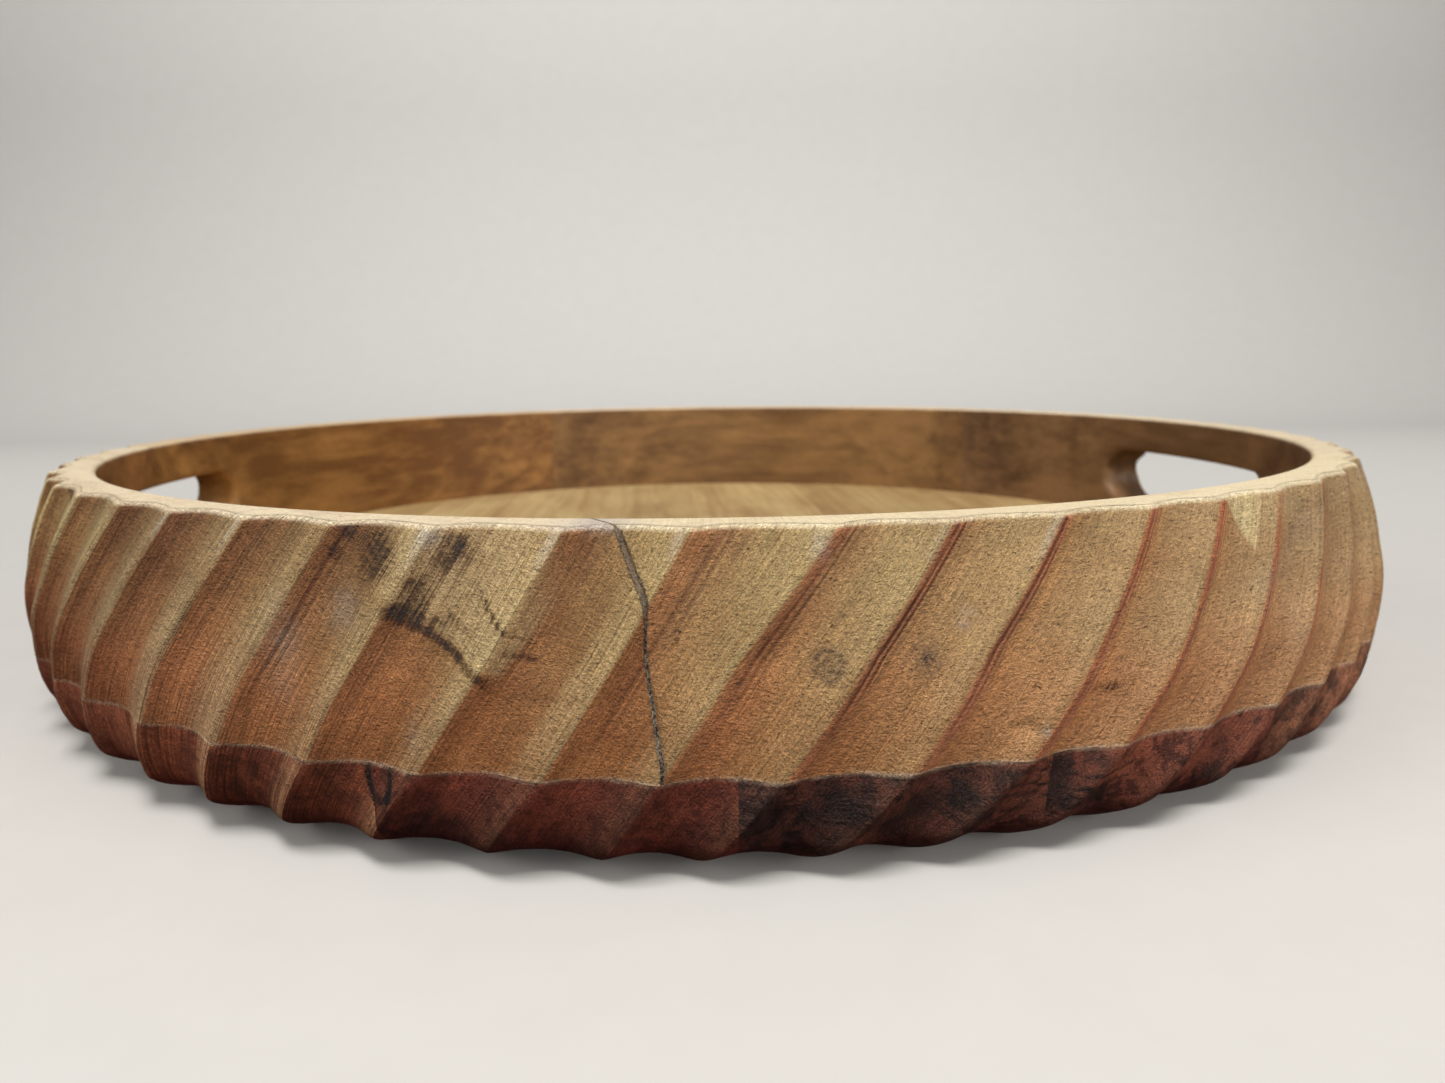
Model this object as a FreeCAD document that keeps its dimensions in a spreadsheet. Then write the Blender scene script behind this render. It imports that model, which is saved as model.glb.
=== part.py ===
import FreeCAD, Part
import math
import os

# Deep round serving / offering plate in solid hardwood, millimetres, +Z up.
# Origin: centre of the flat underside.  The front is -Y, the right is +X, and
# the two hand-holes face +X and -X.
#
#   base   - a round board edge-glued from seven planks, underside at Z = 0
#   wall   - five curved blocks glued end to end into a ring on top of the board
#   filler - the dark filling of the one ring joint that did not close up tight
# The outside is carved after gluing, so the scooped, slanting flutes run
# without a break through both the wall and the edge of the base board.

V = FreeCAD.Vector
Z = V(0, 0, 1)

doc = FreeCAD.newDocument("OfferingPlate")

# ---------------------------------------------------------------- sizes
# alias, value or formula, note
SIZES = [
    # overall form
    ("plate_height", 57.9, "underside to the top of the wall"),
    ("base_thickness", 19.5, "thickness of the base board, up to the glue line"),
    ("well_radius", 172.5, "upright inner face of the wall"),
    ("rim_chamfer", 1.2, "eased inner edge of the rim"),
    ("tool_radius", 205.0, "clears the whole plate, for the cutting tools"),
    # bellied outside: radius over the flute crests at six levels
    ("crest_level_1", 0.0, "underside"),
    ("crest_level_2", 6.9, ""),
    ("crest_level_3", 17.4, ""),
    ("crest_level_4", 28.9, "widest"),
    ("crest_level_5", 41.7, ""),
    ("crest_level_6", "=plate_height", "top of the wall"),
    ("crest_radius_1", 175.9, ""),
    ("crest_radius_2", 186.2, ""),
    ("crest_radius_3", 189.3, ""),
    ("crest_radius_4", 190.0, "380 mm across"),
    ("crest_radius_5", 187.85, ""),
    ("crest_radius_6", 182.8, "wall is about 10 mm thick at the rim"),
    # scooped flutes
    ("flute_count", 60, "scoops around the plate"),
    ("flute_depth", 2.8, "scoop depth below the crest circle"),
    ("flute_twist", 12.27, "degrees a crest turns from underside to rim"),
    ("flute_start", -97.3, "direction of one crest at the rim, degrees from +X"),
    # ring joints, degrees from +X
    ("ring_joint_1", -99.25, "front, the filled joint, at its pivot radius"),
    ("ring_joint_2", -34.85, "right front"),
    ("ring_joint_3", 40.85, "right back"),
    ("ring_joint_4", 109.65, "back left"),
    ("ring_joint_5", 181.35, "left, through the hand-hole"),
    ("joint_1_pivot", 186.7, "radius at which the filled joint has its angle"),
    ("joint_1_skew", 37.0, "turn of the filled joint out of the radius"),
    ("filler_width", 0.9, "open joint, filled"),
    # hand-holes: slots with round ends
    ("slot_bottom", 26.0, "lower edge above the underside"),
    ("slot_top", 45.0, "upper edge above the underside"),
    ("slot_length", 95.0, "over the round ends"),
    ("slot_ease", 1.5, "rounding of the slot's edges on the well side"),
    # base planks: joints measured across the grain from the centre
    ("plank_turn", -4.25, "grain direction of the base, degrees from +Y"),
    ("plank_joint_1", -116.4, ""),
    ("plank_joint_2", -61.4, ""),
    ("plank_joint_3", -3.0, ""),
    ("plank_joint_4", 48.5, ""),
    ("plank_joint_5", 99.2, ""),
    ("plank_joint_6", 145.5, ""),
]
CREST_LEVELS = 6
PLANK_JOINTS = 6

sheet = doc.addObject("Spreadsheet::Sheet", "Sizes")
sheet.Label = "Sizes"
for row, (alias, value, note) in enumerate(SIZES, start=1):
    sheet.set(f"A{row}", alias.replace("_", " "))
    sheet.set(f"B{row}", str(value))
    sheet.setAlias(f"B{row}", alias)
    sheet.set(f"C{row}", note)
doc.recompute()


def size(alias):
    return float(sheet.get(alias))


def ref(alias):
    return f"Sizes.{alias}"


HEIGHT = ref("plate_height")
BASE_TOP = ref("base_thickness")
WELL_RADIUS = ref("well_radius")
CHAMFER = ref("rim_chamfer")
TOOL_RADIUS = ref("tool_radius")


# ---------------------------------------------------------------- helpers
def primitive(kind, name, placement=None, **expressions):
    """A Part primitive bound to the sheet; x, y and z bind its position."""
    obj = doc.addObject("Part::" + kind, name)
    if placement is not None:
        obj.Placement = placement
    for key, expression in expressions.items():
        target = "Placement.Base." + key if key in ("x", "y", "z") else key
        obj.setExpression(target, expression)
    return obj


def boolean(kind, name, base, tool):
    """A Part Cut or Common of two objects."""
    obj = doc.addObject("Part::" + kind, name)
    obj.Base = base
    obj.Tool = tool
    return obj


def fuse(name, shapes):
    obj = doc.addObject("Part::MultiFuse", name)
    obj.Shapes = shapes
    return obj


def camel(label):
    return "".join(word.capitalize() for word in label.split("_"))


parts = []


def finish(obj, label):
    """Labels a finished piece and lists it for export."""
    obj.Label = label
    parts.append(obj)


# ---------------------------------------------------------------- fluted blank
def section(level, crest_radius):
    """Closed outline at one level: a parabolic scoop between each two crests.

    The outline turns with height, so the lofted crests slant.
    """
    count = int(size("flute_count"))
    step = 2.0 * math.pi / count
    rise = level / size("plate_height")
    start = math.radians(size("flute_start") - size("flute_twist") * (1.0 - rise))

    def point(radius, steps):
        angle = start + steps * step
        return V(radius * math.cos(angle), radius * math.sin(angle), level)

    # the control point lies as far inside the scoop floor as the chord lies outside
    floor_radius = crest_radius - size("flute_depth")
    chord_radius = crest_radius * math.cos(step / 2.0)
    control_radius = 2.0 * floor_radius - chord_radius
    edges = []
    for k in range(count):
        curve = Part.BezierCurve()
        curve.setPoles([point(crest_radius, k),
                        point(control_radius, k + 0.5),
                        point(crest_radius, (k + 1) % count)])
        edges.append(curve.toShape())
    return Part.Wire(edges)


blank = doc.addObject("Part::Feature", "FlutedBlank")
blank.Label = "fluted blank"
blank.Shape = Part.makeLoft(
    [section(size(f"crest_level_{i}"), size(f"crest_radius_{i}"))
     for i in range(1, CREST_LEVELS + 1)],
    True, False)  # solid, smooth between the levels

# ---------------------------------------------------------------- well
well_cylinder = primitive("Cylinder", "WellCylinder",
                          Radius=WELL_RADIUS, Height=HEIGHT, z=BASE_TOP)
# a 45 degree cone that carries on above the rim for a clean cut
rim_cone = primitive("Cone", "RimChamfer",
                     Radius1=WELL_RADIUS,
                     Radius2=f"{WELL_RADIUS} + 4 * {CHAMFER}",
                     Height=f"4 * {CHAMFER}",
                     z=f"{HEIGHT} - {CHAMFER}")
well = fuse("WellCutter", [well_cylinder, rim_cone])
hollow = boolean("Cut", "HollowBlank", blank, well)

# ---------------------------------------------------------------- hand-hole cutter
# One slot-shaped bar along X goes right across the plate and cuts both holes.
slot_radius = f"({ref('slot_top')} - {ref('slot_bottom')}) / 2"
slot_centre = f"({ref('slot_top')} + {ref('slot_bottom')}) / 2"
slot_half = f"({ref('slot_length')} / 2 - {slot_radius})"  # centre to a round end's axis
bar_start = f"-1 * {TOOL_RADIUS}"
bar_length = f"2 * {TOOL_RADIUS}"

slot_pieces = [primitive("Box", "SlotMiddle",
                         Length=bar_length, Width=f"2 * {slot_half}",
                         Height=f"2 * {slot_radius}",
                         x=bar_start, y=f"-1 * {slot_half}", z=ref("slot_bottom"))]
lying_along_x = FreeCAD.Placement(V(0, 0, 0), FreeCAD.Rotation(V(0, 1, 0), 90))
for tag, side in (("Near", -1), ("Far", 1)):
    slot_pieces.append(primitive("Cylinder", "SlotEnd" + tag, lying_along_x,
                                 Radius=slot_radius, Height=bar_length,
                                 x=bar_start, y=f"{side} * {slot_half}", z=slot_centre))
slot_bar = fuse("SlotCutter", slot_pieces)

# ---------------------------------------------------------------- filled joint
# Joint 1 is an upright plane turned out of the radius.  The thin slab is the
# filling; the side blocks cover the filling and the wood to one side of it.
JOINT_REACH = 45.0  # half the length of the blocks, along the joint
SIDE_DEPTH = 60.0   # how far a side block goes beyond the filling's far face


def joint_block(name, near, width):
    """An upright box along the joint plane, starting at `near` across it."""
    joint_turn = FreeCAD.Rotation(Z, size("ring_joint_1") + size("joint_1_skew"))
    pivot = FreeCAD.Rotation(Z, size("ring_joint_1")).multVec(
        V(size("joint_1_pivot"), 0, 0))
    corner = pivot + joint_turn.multVec(V(-JOINT_REACH, near, 0))
    box = primitive("Box", name, FreeCAD.Placement(corner, joint_turn),
                    Width=width, Height=HEIGHT, z=BASE_TOP)
    box.Length = 2.0 * JOINT_REACH
    return box


filler_half = size("filler_width") / 2.0
side_width = f"{SIDE_DEPTH} + {ref('filler_width')}"
filler_slab = joint_block("FillerSlab", -filler_half, ref("filler_width"))
right_side = joint_block("RightOfJoint", -filler_half, side_width)
left_side = joint_block("LeftOfJoint", -filler_half - SIDE_DEPTH, side_width)

# ---------------------------------------------------------------- wall segments
SPARE = 8  # degrees a wedge runs past the skewed joint, before trimming

# label, first joint, last joint, has a hand-hole, trimmed by
SEGMENTS = [
    ("wall_front_right", 1, 2, False, left_side),
    ("wall_right", 2, 3, True, None),
    ("wall_back", 3, 4, False, None),
    ("wall_back_left", 4, 5, True, None),
    ("wall_front_left", 5, 1, True, right_side),
]


def wedge(name, first, last):
    """A sector above the base board, from one ring joint to the next."""
    spare = SPARE if 1 in (first, last) else 0
    back = SPARE if first == 1 else 0
    full_turn = 360 if last < first else 0
    first_joint, last_joint = f"ring_joint_{first}", f"ring_joint_{last}"
    placement = FreeCAD.Placement(V(0, 0, 0),
                                  FreeCAD.Rotation(Z, size(first_joint) - back))
    return primitive("Cylinder", name, placement,
                     Radius=TOOL_RADIUS, Height=HEIGHT, z=BASE_TOP,
                     Angle=f"{ref(last_joint)} + {full_turn}"
                           f" - {ref(first_joint)} + {spare}")


def on_slot_mouth(edge):
    """True for an edge of the slot that lies on the upright inner wall."""
    tolerance = 0.01
    low = size("slot_bottom") - tolerance
    high = size("slot_top") + tolerance
    for point in edge.discretize(7):
        if abs(math.hypot(point.x, point.y) - size("well_radius")) > tolerance:
            return False
        if not low <= point.z <= high:
            return False
    # the upright edge of a joint plane is not part of the slot
    box = edge.BoundBox
    return math.hypot(box.XLength, box.YLength) > 0.5


def with_hand_hole(name, body):
    """Cuts the slot and rounds its edges where it meets the well."""
    holed = boolean("Cut", name + "Holed", body, slot_bar)
    doc.recompute()
    ease = size("slot_ease")
    eased = doc.addObject("Part::Fillet", name + "Eased")
    eased.Base = holed
    eased.Edges = [(number, ease, ease)
                   for number, edge in enumerate(holed.Shape.Edges, start=1)
                   if on_slot_mouth(edge)]
    return eased


for label, first, last, has_hole, trim in SEGMENTS:
    name = camel(label)
    body = boolean("Common", name + "Block", hollow, wedge(name + "Wedge", first, last))
    if trim is not None:
        body = boolean("Cut", name + "Trimmed", body, trim)
    if has_hole:
        body = with_hand_hole(name, body)
    finish(body, label)

finish(boolean("Common", "JointFiller", hollow, filler_slab), "joint_filler")

# ---------------------------------------------------------------- base planks
# from -X to +X, between neighbouring bounds across the grain
PLANKS = ["left_edge", "left_outer", "left_inner", "centre",
          "right_inner", "right_outer", "right_edge"]
plank_joints = [f"plank_joint_{i}" for i in range(1, PLANK_JOINTS + 1)]
plank_starts = [-size("tool_radius")] + [size(joint) for joint in plank_joints]
plank_bounds = [f"-1 * {TOOL_RADIUS}"] + [ref(joint) for joint in plank_joints] + [TOOL_RADIUS]
grain_turn = FreeCAD.Rotation(Z, size("plank_turn"))

for i, tag in enumerate(PLANKS):
    name = "Plank" + camel(tag)
    corner = grain_turn.multVec(V(plank_starts[i], -size("tool_radius"), 0))
    board = primitive("Box", name + "Board", FreeCAD.Placement(corner, grain_turn),
                      Length=f"{plank_bounds[i + 1]} - ({plank_bounds[i]})",
                      Width=f"2 * {TOOL_RADIUS}", Height=BASE_TOP)
    finish(boolean("Common", name, blank, board), "base_plank_" + tag)

doc.recompute()

# ---------------------------------------------------------------- checks
EASING_ALLOWANCE = 600.0  # mm3, the most that rounding the slot mouths may remove

for obj in doc.Objects:
    bad = [state for state in obj.State if state in ("Invalid", "Error")]
    if bad:
        raise RuntimeError(f"{obj.Label} is {bad}")
    shape = getattr(obj, "Shape", None)
    if shape is not None and (shape.isNull() or not shape.isValid()):
        raise RuntimeError(f"{obj.Label} has no valid shape")

for obj in parts:
    if len(obj.Shape.Solids) != 1:
        raise RuntimeError(f"{obj.Label} has {len(obj.Shape.Solids)} solids")

total = sum(obj.Shape.Volume for obj in parts)
expected = hollow.Shape.Volume - hollow.Shape.common(slot_bar.Shape).Volume
if not 0.0 <= expected - total <= EASING_ALLOWANCE:
    raise RuntimeError("the pieces do not add up to the plate: "
                       f"{total:.1f} of {expected:.1f}")

# ---------------------------------------------------------------- export
os.makedirs("parts", exist_ok=True)
for obj in parts:
    obj.Shape.exportStep(os.path.join("parts", obj.Label + ".step"))
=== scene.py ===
"""Round wooden tray: five curved wall blocks on a base of seven glued planks.

The tray stands on z = 0 with its axis on Z.  The camera looks from -Y, a little to the left,
so +X is right and +Y is back.  The outside is carved with sixty slanting scoops, the right
and left walls have a hand-hole, and a skewed joint at the front holds a dark filling.
Lengths are millimetres and angles degrees from +X until a mesh or shader needs metres.
"""
import math
import bpy
import bmesh
import numpy as np
from mathutils import Matrix, Vector


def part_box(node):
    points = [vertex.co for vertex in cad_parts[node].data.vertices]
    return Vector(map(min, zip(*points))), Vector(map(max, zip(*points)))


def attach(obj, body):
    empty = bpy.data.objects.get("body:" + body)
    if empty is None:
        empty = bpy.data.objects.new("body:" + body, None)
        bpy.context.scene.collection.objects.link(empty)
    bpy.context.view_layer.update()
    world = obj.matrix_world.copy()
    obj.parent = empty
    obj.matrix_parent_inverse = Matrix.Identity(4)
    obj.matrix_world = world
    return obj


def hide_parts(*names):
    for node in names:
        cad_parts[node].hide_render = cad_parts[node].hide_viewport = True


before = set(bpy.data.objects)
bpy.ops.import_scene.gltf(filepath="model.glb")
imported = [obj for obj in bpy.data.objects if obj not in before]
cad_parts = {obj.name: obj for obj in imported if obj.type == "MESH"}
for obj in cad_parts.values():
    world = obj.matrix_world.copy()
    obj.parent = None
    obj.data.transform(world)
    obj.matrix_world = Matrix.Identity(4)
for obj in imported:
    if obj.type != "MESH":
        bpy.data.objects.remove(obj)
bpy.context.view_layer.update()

MM = 0.001

# ------------------------------------------------------------------ sizes
# Plain radial joints between the wall blocks
JOINT_RIGHT, JOINT_BACK_RIGHT, JOINT_BACK_LEFT, JOINT_LEFT = -34.85, 40.85, 109.65, 181.35

H = round(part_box("wall_back")[1].z / MM, 2)                # rim height
ZB = round(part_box("base_plank_centre")[1].z / MM, 2)       # floor and glue line
R_IN = round(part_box("wall_right")[0].x / MM / math.cos(math.radians(JOINT_BACK_RIGHT)), 1)
R_MAX = round(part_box("wall_back")[1].y / MM, 2)
R_CARVED = 189.0                   # typical radius of the carved outside
R_START = 186.0                    # first guess when solving for the carved surface
MM_PER_DEG = 3.28                  # arc length of one degree on the outside

VIEW_TURN = -6.35                  # the camera and backdrop are turned about Z by this
FRONT = VIEW_TURN - 90.0           # direction of the camera

# Filled joint: where its middle line crosses a radius, its skew from radial, its width
SEAM_ANGLE, SEAM_R, SEAM_SKEW, SEAM_W = -99.25, 186.7, 37.0, 0.50
SEAM_HEADING = math.radians(SEAM_ANGLE + SEAM_SKEW)
SEAM_ALONG = np.array([math.cos(SEAM_HEADING), math.sin(SEAM_HEADING)])
SEAM_NORMAL = np.array([-math.sin(SEAM_HEADING), math.cos(SEAM_HEADING)])
SEAM_MIDDLE = SEAM_R * np.array([math.cos(math.radians(SEAM_ANGLE)),
                                 math.sin(math.radians(SEAM_ANGLE))])

SLOT_LOW, SLOT_HIGH, SLOT_LEN = 26.0, 45.0, 95.0           # hand-holes
SLOT_R = (SLOT_HIGH - SLOT_LOW) / 2
SLOT_Z = (SLOT_HIGH + SLOT_LOW) / 2
SLOT_HALF = SLOT_LEN / 2 - SLOT_R
SLOT_EASE = 2.0                    # rounding of the hole's edges
Y_EDGE = 60.0                      # the hole's patch reaches this far from its middle
Y_JOINT = float(R_CARVED * math.sin(math.radians(JOINT_LEFT)))  # left joint as constant y

STEP = 0.62                        # between mesh lines on the walls
RIM_R = 1.25                       # rounding of the rim's edges
N_Z = int(round((H - RIM_R - ZB) / STEP)) + 1
Z_SIDE = np.linspace(ZB, H - RIM_R, N_Z)
ARC = np.radians(np.array([18, 36, 54, 72, 90]))
ARC_Z = H - RIM_R + RIM_R * np.sin(ARC)
ARC_IN = RIM_R * (1 - np.cos(ARC))
TOP_T = np.linspace(0, 1, 10)[1:-1]
BOTTOM_T = np.linspace(0, 1, 6)[1:-1]

PLANK_TURN = -4.25                 # direction across the grain of the base
PLANK_EDGES = [-116.4, -61.4, -3.0, 48.5, 99.2, 145.5]     # across the grain
PLANK_STEP = 0.7
PLANK_EASE = 1.2                   # rounding of the base's lower edge
Z_BASE = np.linspace(0, ZB, int(ZB / PLANK_STEP) + 1)


# ------------------------------------------------------------------ curves and noise
def pchip(xs, ys):
    """Curve through the points that doesn't overshoot them."""
    h = np.diff(xs)
    d = np.diff(ys) / h
    slope = np.zeros_like(ys)
    for i in range(1, len(xs) - 1):
        if d[i - 1] * d[i] > 0:
            w1, w2 = 2 * h[i] + h[i - 1], h[i] + 2 * h[i - 1]
            slope[i] = (w1 + w2) / (w1 / d[i - 1] + w2 / d[i])
    slope[0] = 1.5 * d[0] - 0.5 * slope[1]
    slope[-1] = 1.5 * d[-1] - 0.5 * slope[-2]

    def curve(x):
        x = np.asarray(x, float)
        i = np.clip(np.searchsorted(xs, x) - 1, 0, len(h) - 1)
        t = (x - xs[i]) / h[i]
        return ((1 + 2 * t) * (1 - t) ** 2 * ys[i] + t * (1 - t) ** 2 * h[i] * slope[i]
                + t * t * (3 - 2 * t) * ys[i + 1] + t * t * (t - 1) * h[i] * slope[i + 1])
    return curve


def hash01(*values):
    """Repeatable random number, 0..1, for each set of values."""
    total = sum(np.asarray(value, float) * factor
                for value, factor in zip(values, (12.9898, 78.233, 37.719)))
    wave = np.sin(total) * 43758.5453
    return wave - np.floor(wave)


def noise2(x, y, seed):
    xi, yi = np.floor(x), np.floor(y)
    fx, fy = x - xi, y - yi
    fx, fy = fx * fx * (3 - 2 * fx), fy * fy * (3 - 2 * fy)
    near = hash01(xi, yi, seed) * (1 - fx) + hash01(xi + 1, yi, seed) * fx
    far = hash01(xi, yi + 1, seed) * (1 - fx) + hash01(xi + 1, yi + 1, seed) * fx
    return near * (1 - fy) + far * fy


def fade(start, end, x):
    """Smooth step from 0 at start to 1 at end; start may lie above end."""
    t = np.clip((x - start) / (end - start), 0, 1)
    return t * t * (3 - 2 * t)


def wrap(angle):
    return (angle + 180.0) % 360.0 - 180.0


# ------------------------------------------------------------------ the carved outside
SCOOPS = 60
PITCH = 6.0                        # degrees from crest to crest
CREST_0 = -97.3                    # direction of crest 0 at the rim
TWIST = 12.27 / H                  # slant of the crests, degrees per mm of height

# Radius of the crests at six heights
LEVELS = np.array([0.0, 6.9, 17.4, 28.9, 41.7, 57.9]) * H / 57.9
crest_radius = pchip(LEVELS, np.array([175.9, 186.2, 189.3, 190.0, 187.85, 182.8]))

# How far each crest strays (degrees) from its place at four heights: the front crests as
# listed by crest number, the rest at random.
STRAY_Z = np.array([3.0, 19.5, 38.0, 57.9]) * H / 57.9
FRONT_STRAY = {
    -8: (0.3, -1.0, -1.1, -1.4), -7: (0.5, -1.0, -0.8, -0.6), -6: (0.6, -0.8, -0.5, 0.1),
    -5: (0.8, -0.9, -0.6, -0.4), -4: (1.2, -0.1, -0.3, -0.4), -3: (0.84, 0.35, 0.1, -0.5),
    -2: (0.4, 0.6, 0.05, -0.75), -1: (0.2, 0.8, 0.7, -0.15), 0: (0.7, 0.95, 0.58, -0.1),
    1: (0.9, 0.5, 0.15, 1.05), 2: (0.2, 0.25, 0.25, 0.9), 3: (0.2, 0.45, 0.1, 1.1),
    4: (0.0, 0.5, 0.5, 0.8), 5: (0.0, 0.0, 0.3, 0.3), 6: (0.0, 0.0, 0.3, 0.1),
    7: (0.0, 0.2, 0.4, 0.5),
}
CRESTS = np.arange(SCOOPS)
STRAY = 1.1 * (hash01(CRESTS[:, None], np.array([0, 0, 1, 1]), 3.0) - 0.5)
for crest, row in FRONT_STRAY.items():
    STRAY[crest] = row
DEPTH = 2.8 + 0.7 * (hash01(CRESTS, 1.0, 9.0) - 0.5)       # of each scoop
DEPTH[3:9] = (2.55, 2.35, 2.3, 2.35, 2.3, 2.4)

# Sections of a scoop, left crest to right: place across, share of the depth
SCOOP_TOP = pchip(np.array([0.0, 0.04, 0.09, 0.17, 0.26, 0.38, 0.60, 0.80, 0.93, 1.0]),
                  np.array([0.0, 0.13, 0.37, 0.70, 0.93, 1.00, 0.80, 0.44, 0.15, 0.0]))
SCOOP_LOW = pchip(np.array([0.0, 0.06, 0.15, 0.28, 0.40, 0.50, 0.64, 0.80, 0.93, 1.0]),
                  np.array([0.0, 0.10, 0.38, 0.76, 0.95, 1.00, 0.90, 0.55, 0.17, 0.0]))
SCOOP_FOOT = pchip(np.array([0.0, 0.05, 0.13, 0.27, 0.42, 0.50, 0.64, 0.80, 0.94, 1.0]),
                   np.array([0.0, 0.17, 0.45, 0.80, 0.96, 1.00, 0.89, 0.55, 0.16, 0.0]))
SCOOP_EVEN = pchip(np.array([0.0, 0.06, 0.15, 0.28, 0.42, 0.55, 0.70, 0.85, 0.94, 1.0]),
                   np.array([0.0, 0.13, 0.39, 0.74, 0.95, 1.00, 0.88, 0.52, 0.19, 0.0]))


def crest_index(k):
    return np.mod(k, SCOOPS).astype(int)


def crest_angle(k, z):
    """Direction of crest k, any whole number, at height z."""
    z = np.asarray(z, float)
    clipped = np.clip(z, STRAY_Z[0], STRAY_Z[-1])
    i = np.clip(np.searchsorted(STRAY_Z, clipped) - 1, 0, 2)
    t = (clipped - STRAY_Z[i]) / (STRAY_Z[i + 1] - STRAY_Z[i])
    kk = crest_index(k)
    stray = STRAY[kk, i] * (1 - t) + STRAY[kk, i + 1] * t
    return CREST_0 + PITCH * k - TWIST * (H - z) + stray


def scoop_at(theta, z):
    """Number of the crest to the left, place across the scoop 0..1, scoop width."""
    guess = np.floor((theta - CREST_0 + TWIST * (H - z)) / PITCH)
    k = guess - 1
    for j in (0, 1):
        k = np.where(crest_angle(guess + j, z) <= theta, guess + j, k)
    left, right = crest_angle(k, z), crest_angle(k + 1, z)
    return k, (theta - left) / (right - left), np.radians(right - left) * crest_radius(z)


def carved_radius(theta, z):
    z = np.clip(z, 0, H)
    k, across, width = scoop_at(theta, z)
    # a scoop is steeper just after its left crest, more so towards the rim
    up = fade(16, 44, z)
    foot = fade(22, 12, z)
    s = np.clip(across, 0, 1)
    section = (SCOOP_TOP(s) * up
               + (SCOOP_LOW(s) * (1 - foot) + SCOOP_FOOT(s) * foot) * (1 - up))
    # scoops on the right are cut shallower and more evenly
    ahead = wrap(theta - FRONT)
    even = fade(7, 24, ahead) * fade(120, 85, ahead) * (1 - 0.6 * foot)
    section = section * (1 - even) + SCOOP_EVEN(s) * even
    depth = DEPTH[crest_index(k)] * (1.04 + 0.10 * foot) * (1 - 0.13 * even)
    r = crest_radius(z) - depth * section
    # worn crests
    d_left, d_right = across * width, (1 - across) * width
    near = np.where(d_left < d_right, k, k + 1)
    wear = 0.20 + 0.20 * fade(H - 7, H, z) + 0.35 * noise2(near * 3.7, z / 5.0, 5) ** 2
    wear = wear * (1 - 0.6 * foot)
    r = r - wear * np.exp(-np.minimum(d_left, d_right)
                          / np.where(d_left < d_right, 0.6, wear / 0.46))
    # soft waviness along and across the scoops
    u = k + across
    r = r - 0.10 * (noise2(u * 5.0, z / 9.0, 11) - 0.5)
    r = r - 0.16 * (noise2(u * 1.3, z / 14.0, 12) - 0.5)
    r = r - 0.05 * (noise2(u * 13.0, z / 5.0, 13) - 0.5)
    # small chip on the front right
    px, pz = (theta - (FRONT + 15.9)) * MM_PER_DEG, z - 24.0
    chip = np.exp(-((px + 1.4) ** 2 / 5.0 + (pz - 0.5) ** 2 / 2.2))
    r = r - 0.75 * chip * fade(1.4, 0.0, px)
    return np.minimum(r, R_MAX)


def solve_radius(direction_at, z):
    """Radius where a face, whose direction depends on radius, meets the carved outside."""
    r = np.full(np.shape(z), R_START)
    for _ in range(14):
        r = r + 0.65 * (carved_radius(direction_at(r), z) - r)
    return r


# ------------------------------------------------------------------ mesh helpers
def xyz(r, theta, z):
    r, t, z = np.broadcast_arrays(r, np.radians(theta), z)
    return np.stack([r * np.cos(t), r * np.sin(t), z], -1)


def ruled(a, b, n):
    """n rows of points from row or grid a to b."""
    t = np.linspace(0, 1, n).reshape((n,) + (1,) * a.ndim)
    return a[None] * (1 - t) + b[None] * t


class Soup:
    """Collects grids of quads and n-gons, then welds them into one closed mesh."""

    def __init__(self):
        self.points, self.faces, self.count = [], [], 0

    def grid(self, p, skip=None):
        rows, cols = p.shape[:2]
        index = self.count + np.arange(rows * cols).reshape(rows, cols)
        self.points.append(p.reshape(-1, 3))
        self.count += rows * cols
        quads = np.stack([index[:-1, :-1], index[1:, :-1], index[1:, 1:], index[:-1, 1:]], -1)
        if skip is not None:
            quads = quads[~skip]
        self.faces.extend(map(tuple, quads.reshape(-1, 4).tolist()))

    def ngon(self, p):
        self.points.append(p)
        self.faces.append(tuple(range(self.count, self.count + len(p))))
        self.count += len(p)

    def build(self, name):
        me = bpy.data.meshes.new(name)
        me.from_pydata((np.concatenate(self.points) * MM).tolist(), [], self.faces)
        bm = bmesh.new()
        bm.from_mesh(me)
        bmesh.ops.remove_doubles(bm, verts=bm.verts, dist=4e-6)
        loose = [vert for vert in bm.verts if not vert.link_faces]
        bmesh.ops.delete(bm, geom=loose, context="VERTS")
        bmesh.ops.recalc_face_normals(bm, faces=bm.faces)
        if bm.calc_volume(signed=True) < 0:
            bmesh.ops.reverse_faces(bm, faces=bm.faces)
        for edge in bm.edges:
            if len(edge.link_faces) != 2 or edge.calc_face_angle(0.0) > 0.85:
                edge.smooth = False
        for face in bm.faces:
            face.smooth = True
        bm.to_mesh(me)
        bm.free()
        ob = bpy.data.objects.new(name, me)
        bpy.context.scene.collection.objects.link(ob)
        return ob


# ------------------------------------------------------------------ side faces
# Each gives a function from radius to direction.
def radial(angle):
    return lambda r: angle + 0.0 * r


def right_y(y):
    return lambda r: np.degrees(np.arcsin(y / r))


def left_y(y):
    return lambda r: 180.0 - np.degrees(np.arcsin(y / r))


def seam_face(side):
    """Face of the skewed joint; side -1/+1 is left/right of the filling."""
    start = SEAM_MIDDLE + SEAM_NORMAL * side * SEAM_W / 2
    b = -float(start @ SEAM_ALONG)
    start_sq = float(start @ start)

    def direction(r):
        t = b + np.sqrt(np.maximum(b * b - (start_sq - r * r), 0))
        return np.degrees(np.arctan2(start[1] + t * SEAM_ALONG[1],
                                     start[0] + t * SEAM_ALONG[0]))
    return direction


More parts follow.
